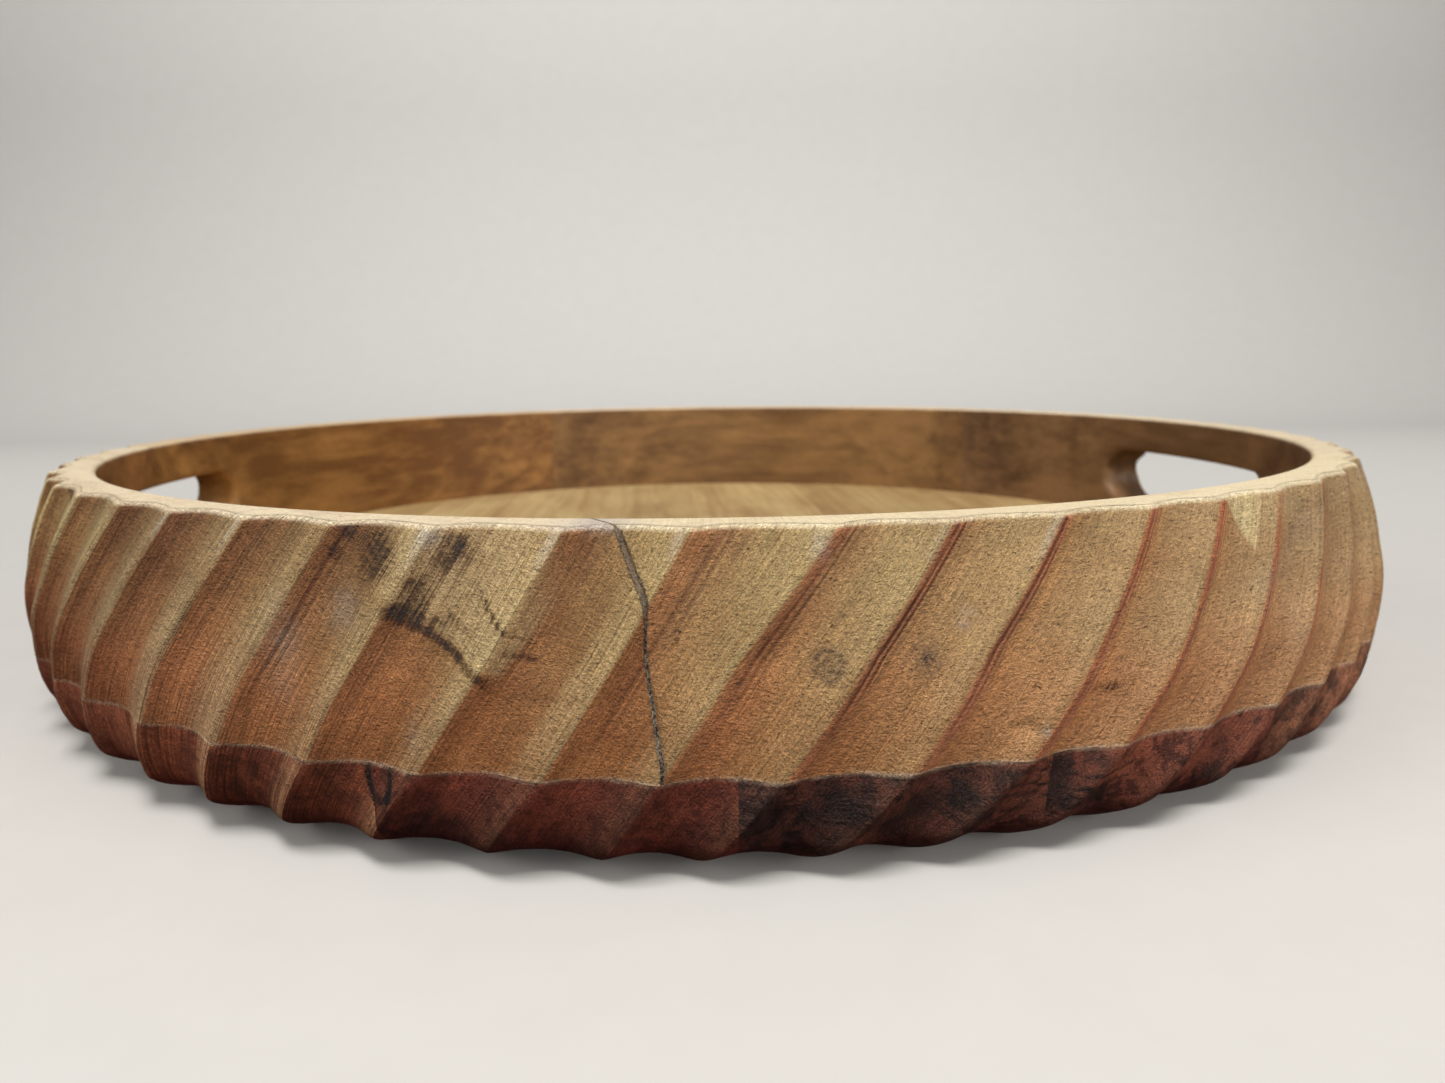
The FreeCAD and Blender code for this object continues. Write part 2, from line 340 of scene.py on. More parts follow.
def plank_edge(u, front):
    """Plank edge at distance u across the grain, its front or its back end."""
    def direction(r):
        a = np.degrees(np.arccos(np.clip(u / r, -1, 1)))
        return PLANK_TURN - a if front else PLANK_TURN + a
    return direction


def full_turn(face):
    return lambda r: face(r) + 360.0


def between(a, b):
    return lambda c, r: a(r) * (1 - c) + b(r) * c


# ------------------------------------------------------------------ wall blocks
FIRST_IN = N_Z + len(ARC) + len(TOP_T) + len(ARC)          # first loop point of the inside


def wall_loops(direction, n_cols):
    """Grid of n_cols closed loops: up the outside, over the rim, down the inside, back
    below.  direction(c, r) takes the place along the stretch, 0..1, and the radius."""
    c = np.linspace(0, 1, n_cols)[:, None]
    parts = []

    def add(r, z):
        parts.append(xyz(r, direction(c, r), z))

    def carved(z):
        z = z + 0 * c
        return solve_radius(lambda r: direction(c, r), z)

    side = carved(Z_SIDE)
    add(side, Z_SIDE)
    rim_edge = carved(ARC_Z) - ARC_IN
    add(rim_edge, ARC_Z)
    add(rim_edge[:, -1:] * (1 - TOP_T) + (R_IN + RIM_R) * TOP_T, H)
    add(R_IN + ARC_IN[::-1] + 0 * c, ARC_Z[::-1])
    add(np.full((n_cols, N_Z), R_IN), Z_SIDE[::-1])
    add(R_IN * (1 - BOTTOM_T) + side[:, :1] * BOTTOM_T, ZB)
    p = np.concatenate(parts, 1)
    return np.concatenate([p, p[:, :1]], 1)


def plain(soup, a, b, caps=()):
    """A plain stretch of wall between two side faces; caps lists the ends (0, -1) to close."""
    span = abs(float(b(np.array(R_START))) - float(a(np.array(R_START))))
    n = max(3, int(math.radians(span) * R_CARVED / STEP) + 1)
    p = wall_loops(between(a, b), n)
    soup.grid(p)
    for end in caps:
        soup.ngon(p[end][:-1])


def slot_foot(q):
    """Nearest point of the slot's outline, for points outside it (y, z)."""
    middle = np.stack([np.clip(q[:, 0], -SLOT_HALF, SLOT_HALF), np.full(len(q), SLOT_Z)], -1)
    d = q - middle
    return middle + d / np.linalg.norm(d, axis=1, keepdims=True) * SLOT_R


def holed(soup, y0, y1, side):
    """A stretch of wall with a hand-hole, or the part of one up to a joint."""
    n = int(abs(y1 - y0) / STEP) + 1
    ys = np.linspace(y0, y1, n)
    p = wall_loops(lambda c, r: side(y0 * (1 - c) + y1 * c)(r), n)
    skip = np.zeros((n - 1, p.shape[1] - 1), bool)
    skip[:, :N_Z - 1] = True                              # outside, up to the rim's rounding
    skip[:, FIRST_IN:FIRST_IN + N_Z - 1] = True           # inside
    soup.grid(p, skip)

    # border of the patch round the opening, left open at a joint
    top = [(y, Z_SIDE[-1]) for y in ys]
    far = [(y1, z) for z in Z_SIDE[::-1][1:]]
    below = [(y, ZB) for y in ys[::-1]]
    near = [(y0, z) for z in Z_SIDE[1:]]
    whole = y0 == -y1
    if whole:
        q = np.array(top + far + below[1:] + near)
    elif abs(y1) > abs(y0):
        q = np.array(top + far + below[1:])
    else:
        q = np.array(below + near + top[1:])
    foot = slot_foot(q)
    gap = np.linalg.norm(q - foot, axis=1)
    unit = (q - foot) / gap[:, None]

    # rings: distance from the hole's outline, drop below the surface
    rings = [(np.full(len(q), SLOT_EASE * (1 - np.cos(a))), SLOT_EASE * (1 - np.sin(a)))
             for a in np.radians(np.array([0, 15, 30, 45, 60, 75, 90]))]
    rings += [(SLOT_EASE + (gap - SLOT_EASE) * j / 20, 0.0) for j in range(1, 21)]

    def ring(distance, drop, outer):
        yz = q if np.allclose(distance, gap) else foot + unit * distance[:, None]
        y, z = yz[:, 0], yz[:, 1]
        if outer:
            r = solve_radius(side(y), z) - drop
        else:
            r = np.full(len(y), R_IN + drop)
        return xyz(r, side(y)(r), z)

    outer = np.stack([ring(*item, True) for item in rings])
    inner = np.stack([ring(*item, False) for item in rings])
    through = ruled(outer[0], inner[0], 9)
    for sheet in (outer, inner, through):
        soup.grid(sheet)
    if whole:
        return
    # close the joint faces above and below the opening
    column = p[0] if abs(y0) < abs(y1) else p[-1]
    for end in (0, -1):
        o, i, t = outer[:, end], inner[:, end], through[:, end]
        if q[end][1] > SLOT_Z:
            over = column[N_Z - 1:FIRST_IN + 1]
            soup.ngon(np.concatenate([o, over[1:-1], i[::-1], t[::-1][1:-1]]))
        else:
            under = column[FIRST_IN + N_Z - 1:]
            soup.ngon(np.concatenate([i, under[1:-1], o[::-1], t[1:-1]]))


def front_right_block(soup):
    plain(soup, seam_face(1), radial(JOINT_RIGHT), caps=(0, -1))


def back_block(soup):
    plain(soup, radial(JOINT_BACK_RIGHT), radial(JOINT_BACK_LEFT), caps=(0, -1))


def right_block(soup):
    plain(soup, radial(JOINT_RIGHT), right_y(-Y_EDGE), caps=(0,))
    holed(soup, -Y_EDGE, Y_EDGE, right_y)
    plain(soup, right_y(Y_EDGE), radial(JOINT_BACK_RIGHT), caps=(-1,))


def back_left_block(soup):
    plain(soup, radial(JOINT_BACK_LEFT), left_y(Y_EDGE), caps=(0,))
    holed(soup, Y_EDGE, Y_JOINT, left_y)


def front_left_block(soup):
    holed(soup, Y_JOINT, -Y_EDGE, left_y)
    plain(soup, left_y(-Y_EDGE), full_turn(seam_face(-1)), caps=(-1,))


walls = {}
for shape in (front_right_block, back_block, right_block, back_left_block, front_left_block):
    soup = Soup()
    shape(soup)
    walls[shape.__name__.removesuffix("_block")] = soup.build(shape.__name__)


# ------------------------------------------------------------------ filling of the joint
def make_filler():
    soup = Soup()
    z = np.concatenate([Z_SIDE, ARC_Z])
    rounding = np.concatenate([np.zeros(N_Z), ARC_IN])
    across = between(seam_face(-1), seam_face(1))
    outer, inner = [], []
    for c in np.linspace(0, 1, 5):
        # crumbly, a little below the carved face between its lips
        rough = 0.16 + 0.34 * hash01(np.arange(len(z)), c * 4, 7.0)
        r = solve_radius(lambda r: across(c, r), z) - rounding
        r = r - rough * (1.0 if 0 < c < 1 else 0.35)
        outer.append(xyz(r, across(c, r), z))
        r = R_IN + 0.05 + rounding
        inner.append(xyz(r, across(c, r), z))
    outer, inner = np.stack(outer), np.stack(inner)
    soup.grid(outer)
    soup.grid(inner)
    for end in (0, -1):
        soup.grid(ruled(outer[end], inner[end], 8))            # joint faces
        soup.grid(ruled(outer[:, end], inner[:, end], 8))      # bottom, top
    return soup.build("dark_joint_filling")


filler = make_filler()


# ------------------------------------------------------------------ base planks
def make_plank(name, u0, u1):
    """Plank between two edges; the outermost planks have only one."""
    soup = Soup()
    if u0 is None:
        arcs = [(plank_edge(u1, False), full_turn(plank_edge(u1, True)))]
    elif u1 is None:
        arcs = [(plank_edge(u0, True), plank_edge(u0, False))]
    else:
        arcs = [(plank_edge(u0, front), plank_edge(u1, front)) for front in (True, False)]
    spans = [abs(float(b(np.array(188.0))) - float(a(np.array(188.0)))) for a, b in arcs]
    n = int(math.radians(max(spans)) * R_CARVED / PLANK_STEP)
    n += n % 2
    c = np.linspace(0, 1, n + 1)[:, None]
    z = np.broadcast_to(Z_BASE, (n + 1, len(Z_BASE)))
    low = np.clip(PLANK_EASE - z, 0, PLANK_EASE)
    ease = PLANK_EASE - np.sqrt(np.maximum(PLANK_EASE ** 2 - low ** 2, 0))
    rounds = []
    for a, b in arcs:
        along = between(a, b)
        r = solve_radius(lambda r: along(c, r), z) - ease
        rounds.append(xyz(r, along(c, r), z))
        soup.grid(rounds[-1])
    first, last = rounds[0], rounds[-1]
    if len(rounds) == 2:
        for level in (0, -1):
            soup.grid(ruled(first[:, level], last[:, level], 41))
        for end in (0, -1):
            soup.grid(ruled(first[end], last[end], 41))
    else:
        side = ruled(first[0], first[-1], 41)
        soup.grid(side)
        for level in (0, -1):
            outline = np.concatenate([first[:, level], side[::-1, level][1:-1]])
            closed = np.concatenate([outline, outline[:1]])
            middle = outline.mean(0)
            inner = middle + (closed - middle) * 0.92
            soup.grid(ruled(closed, inner, 6))
            soup.ngon(inner[:-1])
    return soup.build(name)


# The planks from left to right.  light, deep, pale: albedo outside; pale_amt, blot, hollow,
# flat: strength of the pale sides, blots, dark hollows and flat shading; well: tint of the
# plank seen from above; tone: darkness; pith: middle of the growth rings (in, up) in mm.
# Outside, the front planks left_inner and centre are kept dark: partly dark wood, partly painted
# shade on the down-facing base.
PLANKS = {
    "left_edge": dict(
        light=(0.42, 0.145, 0.078), deep=(0.27, 0.083, 0.047), pale=(0.47, 0.25, 0.125),
        pale_amt=0.9, blot=0.30, hollow=0.35, flat=0.2,
        well=(0.90, 0.87, 0.82), tone=-0.10, pith=(-30, -28)),
    "left_outer": dict(
        light=(0.42, 0.135, 0.068), deep=(0.26, 0.078, 0.042), pale=(0.54, 0.28, 0.140),
        pale_amt=0.9, blot=0.35, hollow=0.35, flat=0.3,
        well=(1.05, 1.06, 1.06), tone=0.06, pith=(40, 34)),
    "left_inner": dict(
        light=(0.195, 0.050, 0.030), deep=(0.110, 0.030, 0.021), pale=(0.235, 0.095, 0.050),
        pale_amt=0.65, blot=0.55, hollow=0.0, flat=1.0,
        well=(0.93, 0.91, 0.88), tone=-0.02, pith=(10, -40)),
    "centre": dict(
        light=(0.230, 0.078, 0.048), deep=(0.105, 0.036, 0.026), pale=(0.23, 0.110, 0.066),
        pale_amt=0.4, blot=0.85, hollow=0.0, flat=0.9,
        well=(1.03, 1.02, 0.99), tone=0.04, pith=(-15, 30)),
    "right_inner": dict(
        light=(0.320, 0.098, 0.056), deep=(0.155, 0.050, 0.034), pale=(0.29, 0.135, 0.082),
        pale_amt=0.35, blot=0.85, hollow=0.0, flat=0.9,
        well=(0.88, 0.85, 0.80), tone=-0.06, pith=(30, -26)),
    "right_outer": dict(
        light=(0.480, 0.198, 0.106), deep=(0.285, 0.113, 0.064), pale=(0.52, 0.27, 0.140),
        pale_amt=0.4, blot=0.60, hollow=0.0, flat=0.3,
        well=(1.06, 1.05, 1.02), tone=0.05, pith=(-40, 40)),
    "right_edge": dict(
        light=(0.600, 0.305, 0.190), deep=(0.420, 0.190, 0.118), pale=(0.60, 0.39, 0.240),
        pale_amt=0.5, blot=0.32, hollow=0.1, flat=0.2,
        well=(0.94, 0.93, 0.92), tone=-0.03, pith=(20, -30)),
}
planks = {tag: make_plank("plank_" + tag, u0, u1)
          for tag, u0, u1 in zip(PLANKS, [None] + PLANK_EDGES, PLANK_EDGES + [None])}

# ------------------------------------------------------------------ figure of the wood
# Places are (degrees right of the front, height in mm).
# Spots: degrees, height, half width, half height, strength.
DARK_SPOTS = [
    (-14.7, 44.5, 2.7, 2.2, 1.0), (-15.5, 44.6, 1.3, 1.3, 0.85), (-13.2, 43.2, 2.6, 1.0, 0.55),
    (-14.3, 48.2, 2.2, 2.3, 0.75), (-18.7, 56.3, 1.6, 1.8, 0.75), (-19.3, 52.9, 1.2, 1.5, 0.7),
    (-16.8, 53.0, 4.4, 4.2, 0.85), (-12.5, 54.1, 2.9, 2.9, 0.78), (-13.3, 51.4, 1.5, 2.2, 0.55),
    (-11.3, 52.4, 1.4, 1.2, 0.4), (-16.6, 40.0, 5.0, 2.6, 0.10), (20.3, 29.6, 2.2, 0.85, 0.62),
    (19.2, 30.1, 0.9, 0.5, 0.5), (32.4, 27.4, 2.0, 2.6, 0.30), (38.9, 29.6, 1.8, 2.4, 0.30),
    (-1.56, 42.3, 0.45, 0.45, 0.95), (-1.62, 40.9, 0.4, 0.4, 0.8),
]
GREY_SPOTS = [
    (12.4, 44.0, 1.2, 0.9, 0.25), (12.1, 42.0, 1.0, 0.8, 0.4), (-13.9, 56.6, 1.9, 1.8, 0.9),
    (-22.0, 38.0, 3.0, 9.0, 0.30), (-18.4, 44.0, 3.2, 3.4, 0.35), (-14.3, 25.5, 1.2, 2.5, 0.35),
    (16.2, 24.2, 0.5, 0.9, 0.9), (35.0, 36.0, 3.4, 8.0, 0.10), (-5.0, 57.6, 2.4, 0.9, 0.6),
    (5.3, 55.4, 1.5, 2.2, 0.8),
]
# Lines: points, half width, strength.
DARK_LINES = [
    ([(-15.4, 43.9), (-14.5, 42.6), (-13.56, 41.2), (-12.25, 39.1), (-11.5, 36.9),
      (-10.56, 34.8)], 0.8, 0.72),
    ([(-12.7, 44.6), (-11.5, 41.8)], 0.45, 0.5),
    ([(-11.15, 48.2), (-10.5, 45.6), (-9.65, 42.3)], 0.5, 0.6),
    ([(-9.7, 39.2), (-9.0, 38.6), (-8.3, 38.1)], 0.55, 0.6),
    ([(-9.4, 42.0), (-8.6, 40.8)], 0.5, 0.4),
    ([(-10.5, 33.4), (-8.1, 32.3), (-5.5, 32.9)], 0.9, 0.24),
    ([(41.0, 54.6), (38.6, 53.4), (36.6, 50.2), (35.9, 46.5)], 1.1, 0.26),
    ([(32.6, 44.5), (31.9, 40.0), (32.2, 33.0), (32.9, 28.0)], 1.0, 0.20),
    ([(-48.6, 57.2), (-46.2, 55.9)], 0.9, 0.9),
]
GREY_LINES = [([(39.0, 51.0), (36.5, 48.0), (34.45, 45.4), (31.48, 41.4)], 2.4, 0.12)]
# dark figure away from the front: degrees, height, reach in degrees
for a, h, reach in ((145, 50, 7.0), (-160, 38, 9.0), (-120, 50, 6.0), (92, 30, 6.0)):
    DARK_LINES += [
        ([(a - reach, h + 1.2), (a - reach / 3, h + 0.3), (a + reach / 3, h - 0.4),
          (a + reach, h - 0.2)], 1.5, 0.26),
        ([(a - reach / 2, h + 4.2), (a, h + 3.6), (a + reach, h + 3.1)], 1.1, 0.20)]
    DARK_SPOTS.append((a, h + 1, 24.0, 5.0, 0.22))

BASE_SPOTS = [
    (6.5, 13, 5.0, 4.0, 0.75), (9.0, 8, 4.0, 3.5, 0.7), (2.6, 16.5, 2.2, 2.4, 0.55),
    (-4.0, 15, 3.5, 3.0, 0.4), (12.3, 14, 3.2, 3.4, 0.6), (14.5, 17.4, 3.0, 1.6, 0.6),
    (25.4, 13.5, 2.2, 1.2, 0.6), (0.6, 12, 0.7, 4.0, 0.5), (20.6, 17.0, 4.5, 1.2, 0.5),
] + [(a, 11, 6.0, 3.4, 0.5) for a in (-60, -92, 75, 120, 160, -140)]
BASE_LINES = [
    ([(15.6 - n, h + 2.4), (17.5, h), (20.0, h - 1.4), (22.5, h - 0.6)], 0.42, 0.7)
    for n, h in enumerate((15.6, 13.2, 11.4))
] + [
    ([(8.6 + 1.3 * n, 18.5), (10.6 + 1.3 * n, 12.5), (13.0 + 1.3 * n, 8.0)], 0.55, 0.45)
    for n in range(3)
]
# Lower edge of the yellow sapwood left of the front: degrees, height
SAP_EDGE = ([-18.5, -16.3, -15.3, -14.5, -12.4, -11.1, -10.0, -7.0],
            [50, 47, 44.5, 42.5, 39.5, 36.5, 35, 47])
# Round knots: degrees, height, ring radius, core radius (0 = open rings only)
KNOTS = [(5.42, 37.2, 2.0, 0.0), (10.2, 37.2, 2.3, 1.15), (58, 30, 1.9, 0.8),
         (79, 50, 1.5, 0.6), (118, 36, 2.6, 1.1), (171, 40, 1.8, 0.7),
         (-133, 33, 2.4, 1.0), (-101, 24, 1.6, 0.6)]

# Tint (red, green, blue) by height, then at each of TONE_AT degrees: partly the timber's own tint
# and partly painted light and shade, running smoothly across the front
TONE_AT = [-75, -53, -33, -12, 5.5, 22, 41, 62]
TONE = {
    28: [(1, 1, 1), (0.96, 0.82, 0.86), (1.05, 0.96, 1.0), (1.09, 1.08, 1.04),
         (1.04, 1.03, 0.96), (1.09, 1.06, 1.10), (1.12, 1.12, 1.20), (1, 1, 1)],
    40: [(1, 1, 1), (1.02, 1.05, 1.03), (0.92, 0.93, 0.92), (0.92, 0.91, 0.80),
         (0.99, 1.0, 0.90), (1.05, 1.12, 1.14), (1.16, 1.20, 1.28), (1.1, 1.15, 1.2)],
    51: [(1, 1, 1), (1.44, 1.66, 1.52), (0.79, 0.74, 0.69), (0.98, 0.93, 0.77),
         (1.11, 1.15, 1.05), (1.05, 1.0, 0.94), (0.94, 0.88, 0.86), (1, 1, 1)],
}

# Scorched lines in each scoop: distance from the left crest in mm, strength.  Random all
# round, then as listed by crest number.
SCORCH_AT = 1.5 + 3.0 * hash01(CRESTS, 2.0, 4.0)
SCORCH_AMOUNT = 0.9 * np.maximum(0, hash01(CRESTS, 7.0, 1.0) - 0.25)
for crest, (place, amount) in {
        -6: (3.5, 0.35), -4: (4.2, 0.3), -1: (4.4, 0.5), 0: (5.0, 0.6), 1: (2.8, 0.75),
        2: (1.7, 1.0), 3: (1.5, 0.85), 4: (1.6, 0.8), 5: (2.0, 0.55), 6: (1.8, 0.5),
        7: (2.4, 0.5)}.items():
    SCORCH_AT[crest] = place
    SCORCH_AMOUNT[crest] = amount


def arc_mm(phi, a):
    """Distance round the outside from direction a."""
    return wrap(phi - a) * MM_PER_DEG


def spot(phi, z, a, h, half_width, half_height):
    return np.exp(-((arc_mm(phi, a) / half_width) ** 2 + ((z - h) / half_height) ** 2))


def line_mask(phi, z, points, width):
    best = np.full(phi.shape, 1e9)
    for (a0, z0), (a1, z1) in zip(points[:-1], points[1:]):
        px, pz = arc_mm(phi, a0), z - z0
        dx, dz = (a1 - a0) * MM_PER_DEG, z1 - z0
        t = np.clip((px * dx + pz * dz) / (dx * dx + dz * dz), 0, 1)
        best = np.minimum(best, np.hypot(px - t * dx, pz - t * dz))
    return np.exp(-(best / width) ** 2)


def layered(*masks):
    """Masks laid over each other, each letting the others show where it is thin."""
    clear = 1.0
    for mask in masks:
        clear = clear * (1 - mask)
    return 1 - clear


def marks(phi, z, spots, lines):
    return layered(*(strength * spot(phi, z, *place) for *place, strength in spots),
                   *(strength * line_mask(phi, z, points, width)
                     for points, width, strength in lines))


def sapwood(phi, z):
    """Yellow sapwood: left of the front, and a wedge with a soft spot on the right."""
    left = (fade(-17.5, -15.0, phi) * fade(-6.5, -9.5, phi)
            * fade(-0.6, 2.0, z - np.interp(phi, *SAP_EDGE)))
    wedge_left = np.interp(z, [48.3, 58.5], [31.9, 29.9])
    wedge_right = np.interp(z, [48.3, 58.5], [32.0, 34.1])
    wedge = (fade(-0.12, 0.12, phi - wedge_left) * fade(0.12, -0.12, phi - wedge_right)
             * fade(48.0, 48.6, z))
    return layered(0.5 * left, 0.45 * spot(phi, z, 36.0, 55.5, 9.0, 4.5), wedge)


def base_figure(phi, z):
    """Dark figure of the base: a squarish ring left of the front, spots and lines."""
    x = arc_mm(phi, -16.65)
    d = (np.abs(x / 2.45) ** 2.8 + np.abs((z - 17.6) / 4.1) ** 2.8) ** (1 / 2.8)
    ring = np.exp(-((d - 1.0) / (0.25 + 0.07 * fade(1.5, -2.0, x))) ** 2)
    return layered(ring, marks(phi, z, BASE_SPOTS, BASE_LINES))


def knots(phi, z):
    mask = np.zeros_like(phi)
    for a, h, r, core in KNOTS:
        d = np.hypot(arc_mm(phi, a), (z - h) * 0.94)
        layers = [(0.45 if core else 0.80) * np.exp(-((d - r) / 0.40) ** 2),
                  0.34 * np.exp(-(d / (1.3 * r)) ** 2)]
        if core:
            layers += [np.exp(-(d / core) ** 4), 0.55 * np.exp(-(d / (2.3 * core)) ** 2)]
        else:
            layers.append(0.62 * np.exp(-((d - 0.45 * r) / 0.34) ** 2))
        mask = np.maximum.reduce([mask] + layers)
    return mask


def tone_field(phi, z):
    low, middle, high = (
        np.stack([np.interp(phi, TONE_AT, channel) for channel in zip(*row)], -1)
        for row in TONE.values())
    t1, t2 = fade(28, 40, z)[:, None], fade(40, 51, z)[:, None]
    return (low * (1 - t1) + middle * t1) * (1 - t2) + high * t2


def annotate(ob, wall, middle):
    """Fields for the shader: where on the tray, and where across its scoop, points lie."""
    me = ob.data
    co = np.empty(len(me.vertices) * 3)
    me.vertices.foreach_get("co", co)
    x, y, z = (co.reshape(-1, 3) / MM).T
    theta = middle + wrap(np.degrees(np.arctan2(y, x)) - middle)
    z = np.clip(z, 0, H)
    k, across, _ = scoop_at(theta, z)
    kk = crest_index(k)
    outer = fade(1.5, 0.5, carved_radius(theta, z) - np.hypot(x, y))
    phi = wrap(theta - FRONT)
    none = np.zeros_like(phi)
    dark = marks(phi, z, DARK_SPOTS, DARK_LINES) if wall else base_figure(phi, z)
    # the hollows read darkest left of the front, the burnished sides palest in the middle
    front = fade(-75, -55, phi) * fade(75, 55, phi)
    red = 0.80 + 0.30 * np.exp(-((phi + 12) / 12.0) ** 2)
    red = red * (1 - 0.45 * fade(38, 47, z) * np.exp(-((phi + 14) / 9.0) ** 2))
    red = red * (1 - 0.35 * fade(2, 14, phi) * front)
    red = red * (1 - 0.45 * fade(-40, -52, phi) * fade(36, 47, z) * front)
    wide = fade(-18, -30, phi) * front
    pale = 0.62 + 0.45 * np.exp(-((phi + 8) / 16.0) ** 2)
    pale = pale - 0.20 * fade(6, 20, phi) * fade(90, 50, phi)
    pale = pale * (0.75 + 0.25 * fade(20, 40, z)) * (1 - wide) + wide * 0.95
    veins = spot(phi, z, -12.6, 51, 8.0, 6.5) + 0.8 * spot(phi, z, 150, 48, 12.0, 7)
    fields = {
        "outer": outer,
        "top": fade(H - 0.9, H - 0.15, z) if wall else none,
        "height": z / H,
        "u": k + across + 120.0,
        "scorch": SCORCH_AT[kk],
        "scorchamt": SCORCH_AMOUNT[kk],
        "redamt": red,
        "paleamt": pale,
        "palewide": wide * (0.35 + 1.1 * hash01(kk, 5.0, 2.0)),
        "tool": 0.55 - 0.27 * fade(2, 20, phi) * front + 0.40 * fade(-12, -25, phi) * front,
        "tint": tone_field(phi, z) if wall else None,
        "flank": (0.35 + 0.65 * fade(-2, 10, phi)) * front + (1 - front) * 0.8,
        "brow": fade(9, 20, phi) * front,
        "knot": knots(phi, z) * outer if wall else None,
        "dark": dark * outer,
        "veins": np.clip(veins, 0, 1) * outer,
        "sap": sapwood(phi, z) * outer if wall else none,
        "grey": marks(phi, z, GREY_SPOTS, GREY_LINES) * outer if wall else none,
        "glue": np.exp(-((z - ZB) / 0.26) ** 2),
        "seam": fade(14.0, 10.0, np.abs(arc_mm(theta, SEAM_ANGLE))),
        "lilac": np.exp(-((arc_mm(phi, -5.6) / 6.0) ** 2)),
    }
    for name, values in fields.items():
        if values is None:
            continue
        kind, key = ("FLOAT", "value") if values.ndim == 1 else ("FLOAT_VECTOR", "vector")
        attribute = me.attributes.new(name, kind, "POINT")
        attribute.data.foreach_set(key, np.ascontiguousarray(values.ravel(), dtype=np.float32))


# ------------------------------------------------------------------ shader graphs
class Value:
    """Output of a shader node.  +, -, * and / each add a math node, or a vector math node
    where the left-hand value is a vector or a colour."""

    def __init__(self, graph, socket):
        self.graph, self.socket = graph, socket

    def combine(self, op, a, b):
        scalar = self.socket.type == "VALUE"
        return (self.graph.math if scalar else self.graph.vector_math)(op, a, b)

    def __add__(self, other):
        return self.combine("ADD", self, other)

    def __radd__(self, other):
        return self.combine("ADD", other, self)

    def __sub__(self, other):
        return self.combine("SUBTRACT", self, other)

    def __rsub__(self, other):
        return self.combine("SUBTRACT", other, self)

    def __mul__(self, other):
        return self.combine("MULTIPLY", self, other)

    def __truediv__(self, other):
        return self.combine("DIVIDE", self, other)

    def times_clamped(self, other):
        return self.graph.math("MULTIPLY", self, other, clamp=True)

    def fade(self, start, end, to=(0.0, 1.0), kind="SMOOTHSTEP"):
        """Goes from to[0] at start to to[1] at end; start may lie above end."""
        node = self.graph.node("MapRange", interpolation_type=kind, clamp=True)
        for name, value in zip(("Value", "From Min", "From Max", "To Min", "To Max"),
                               (self, start, end, *to)):
            self.graph.put(node.inputs[name], value)
        return Value(self.graph, node.outputs["Result"])

    def toward(self, colour, amount):
        return self.graph.mix(amount, self, colour)

    def tinted(self, tint, amount):
        return self.toward(self.graph.times(self, tint), amount)


class Graph:
    def __init__(self, tree):
        self.tree = tree

    def node(self, kind, **settings):
        node = self.tree.nodes.new("ShaderNode" + kind)
        for name, value in settings.items():
            setattr(node, name, value)
        return node

    def put(self, socket, value):
        if isinstance(value, Value):
            self.tree.links.new(value.socket, socket)
        elif socket.type == "RGBA":
            socket.default_value = (*value, 1.0)
        else:
            socket.default_value = value

    def fill(self, node, values, output=0):
        """Sets a node's first inputs and gives one of its outputs."""
        for i, value in enumerate(values):
            self.put(node.inputs[i], value)
        return Value(self, node.outputs[output])

    def math(self, op, *values, clamp=False):
        return self.fill(self.node("Math", operation=op, use_clamp=clamp), values)

    def vector_math(self, op, a, b):
        output = "Value" if op == "DOT_PRODUCT" else "Vector"
        return self.fill(self.node("VectorMath", operation=op), (a, b), output)

    def attr(self, name, output="Fac"):
        return self.fill(self.node("Attribute", attribute_name=name), (), output)

    def coordinates(self, output):
        return self.fill(self.node("TexCoord"), (), output)

    def split(self, vector):
        node = self.node("SeparateXYZ")
        self.put(node.inputs[0], vector)
        return [Value(self, output) for output in node.outputs]

    def join(self, x, y, z):
        return self.fill(self.node("CombineXYZ"), (x, y, z))

    def noise(self, vector, scale, detail, rough):
        node = self.node("TexNoise")
        for name, value in (("Vector", vector), ("Scale", scale), ("Detail", detail),
                            ("Roughness", rough)):
            self.put(node.inputs[name], value)
        return Value(self, node.outputs["Fac"])

    def mix(self, factor, a, b, mode="MIX"):
        node = self.node("Mix", data_type="RGBA", blend_type=mode, clamp_factor=True)
        for i, value in ((0, factor), (6, a), (7, b)):
            self.put(node.inputs[i], value)
        return Value(self, node.outputs[2])

    def times(self, a, b):
        return self.mix(1.0, a, b, "MULTIPLY")

    def ramp(self, factor, stops):
        node = self.node("ValToRGB")
        elements = node.color_ramp.elements
        while len(elements) < len(stops):
            elements.new(0.5)
        for element, (position, colour) in zip(elements, stops):
            element.position = position
            element.color = (*colour, 1.0)
        return self.fill(node, (factor,))

    def bump(self, height, distance, strength, normal=None):
        node = self.node("Bump")
        self.put(node.inputs["Distance"], distance)
        self.put(node.inputs["Strength"], strength)
        self.put(node.inputs["Height"], height)
        if normal is not None:
            self.put(node.inputs["Normal"], normal)
        return Value(self, node.outputs[0])


class Material(Graph):
    def __init__(self, name):
        self.material = bpy.data.materials.new(name)
        self.material.use_nodes = True
        super().__init__(self.material.node_tree)
        self.tree.nodes.clear()
        output = self.node("OutputMaterial")
        self.bsdf = self.node("BsdfPrincipled")
        self.tree.links.new(self.bsdf.outputs[0], output.inputs[0])
        self.place = self.coordinates("Object")

    def surface(self, inputs):
        for name, value in inputs.items():
            self.put(self.bsdf.inputs[name], value)
        return self.material


# ------------------------------------------------------------------ timber
WHITE = (1.0, 1.0, 1.0)
SCOOP_MM = 18.9                    # width of a scoop, to place the scorched lines


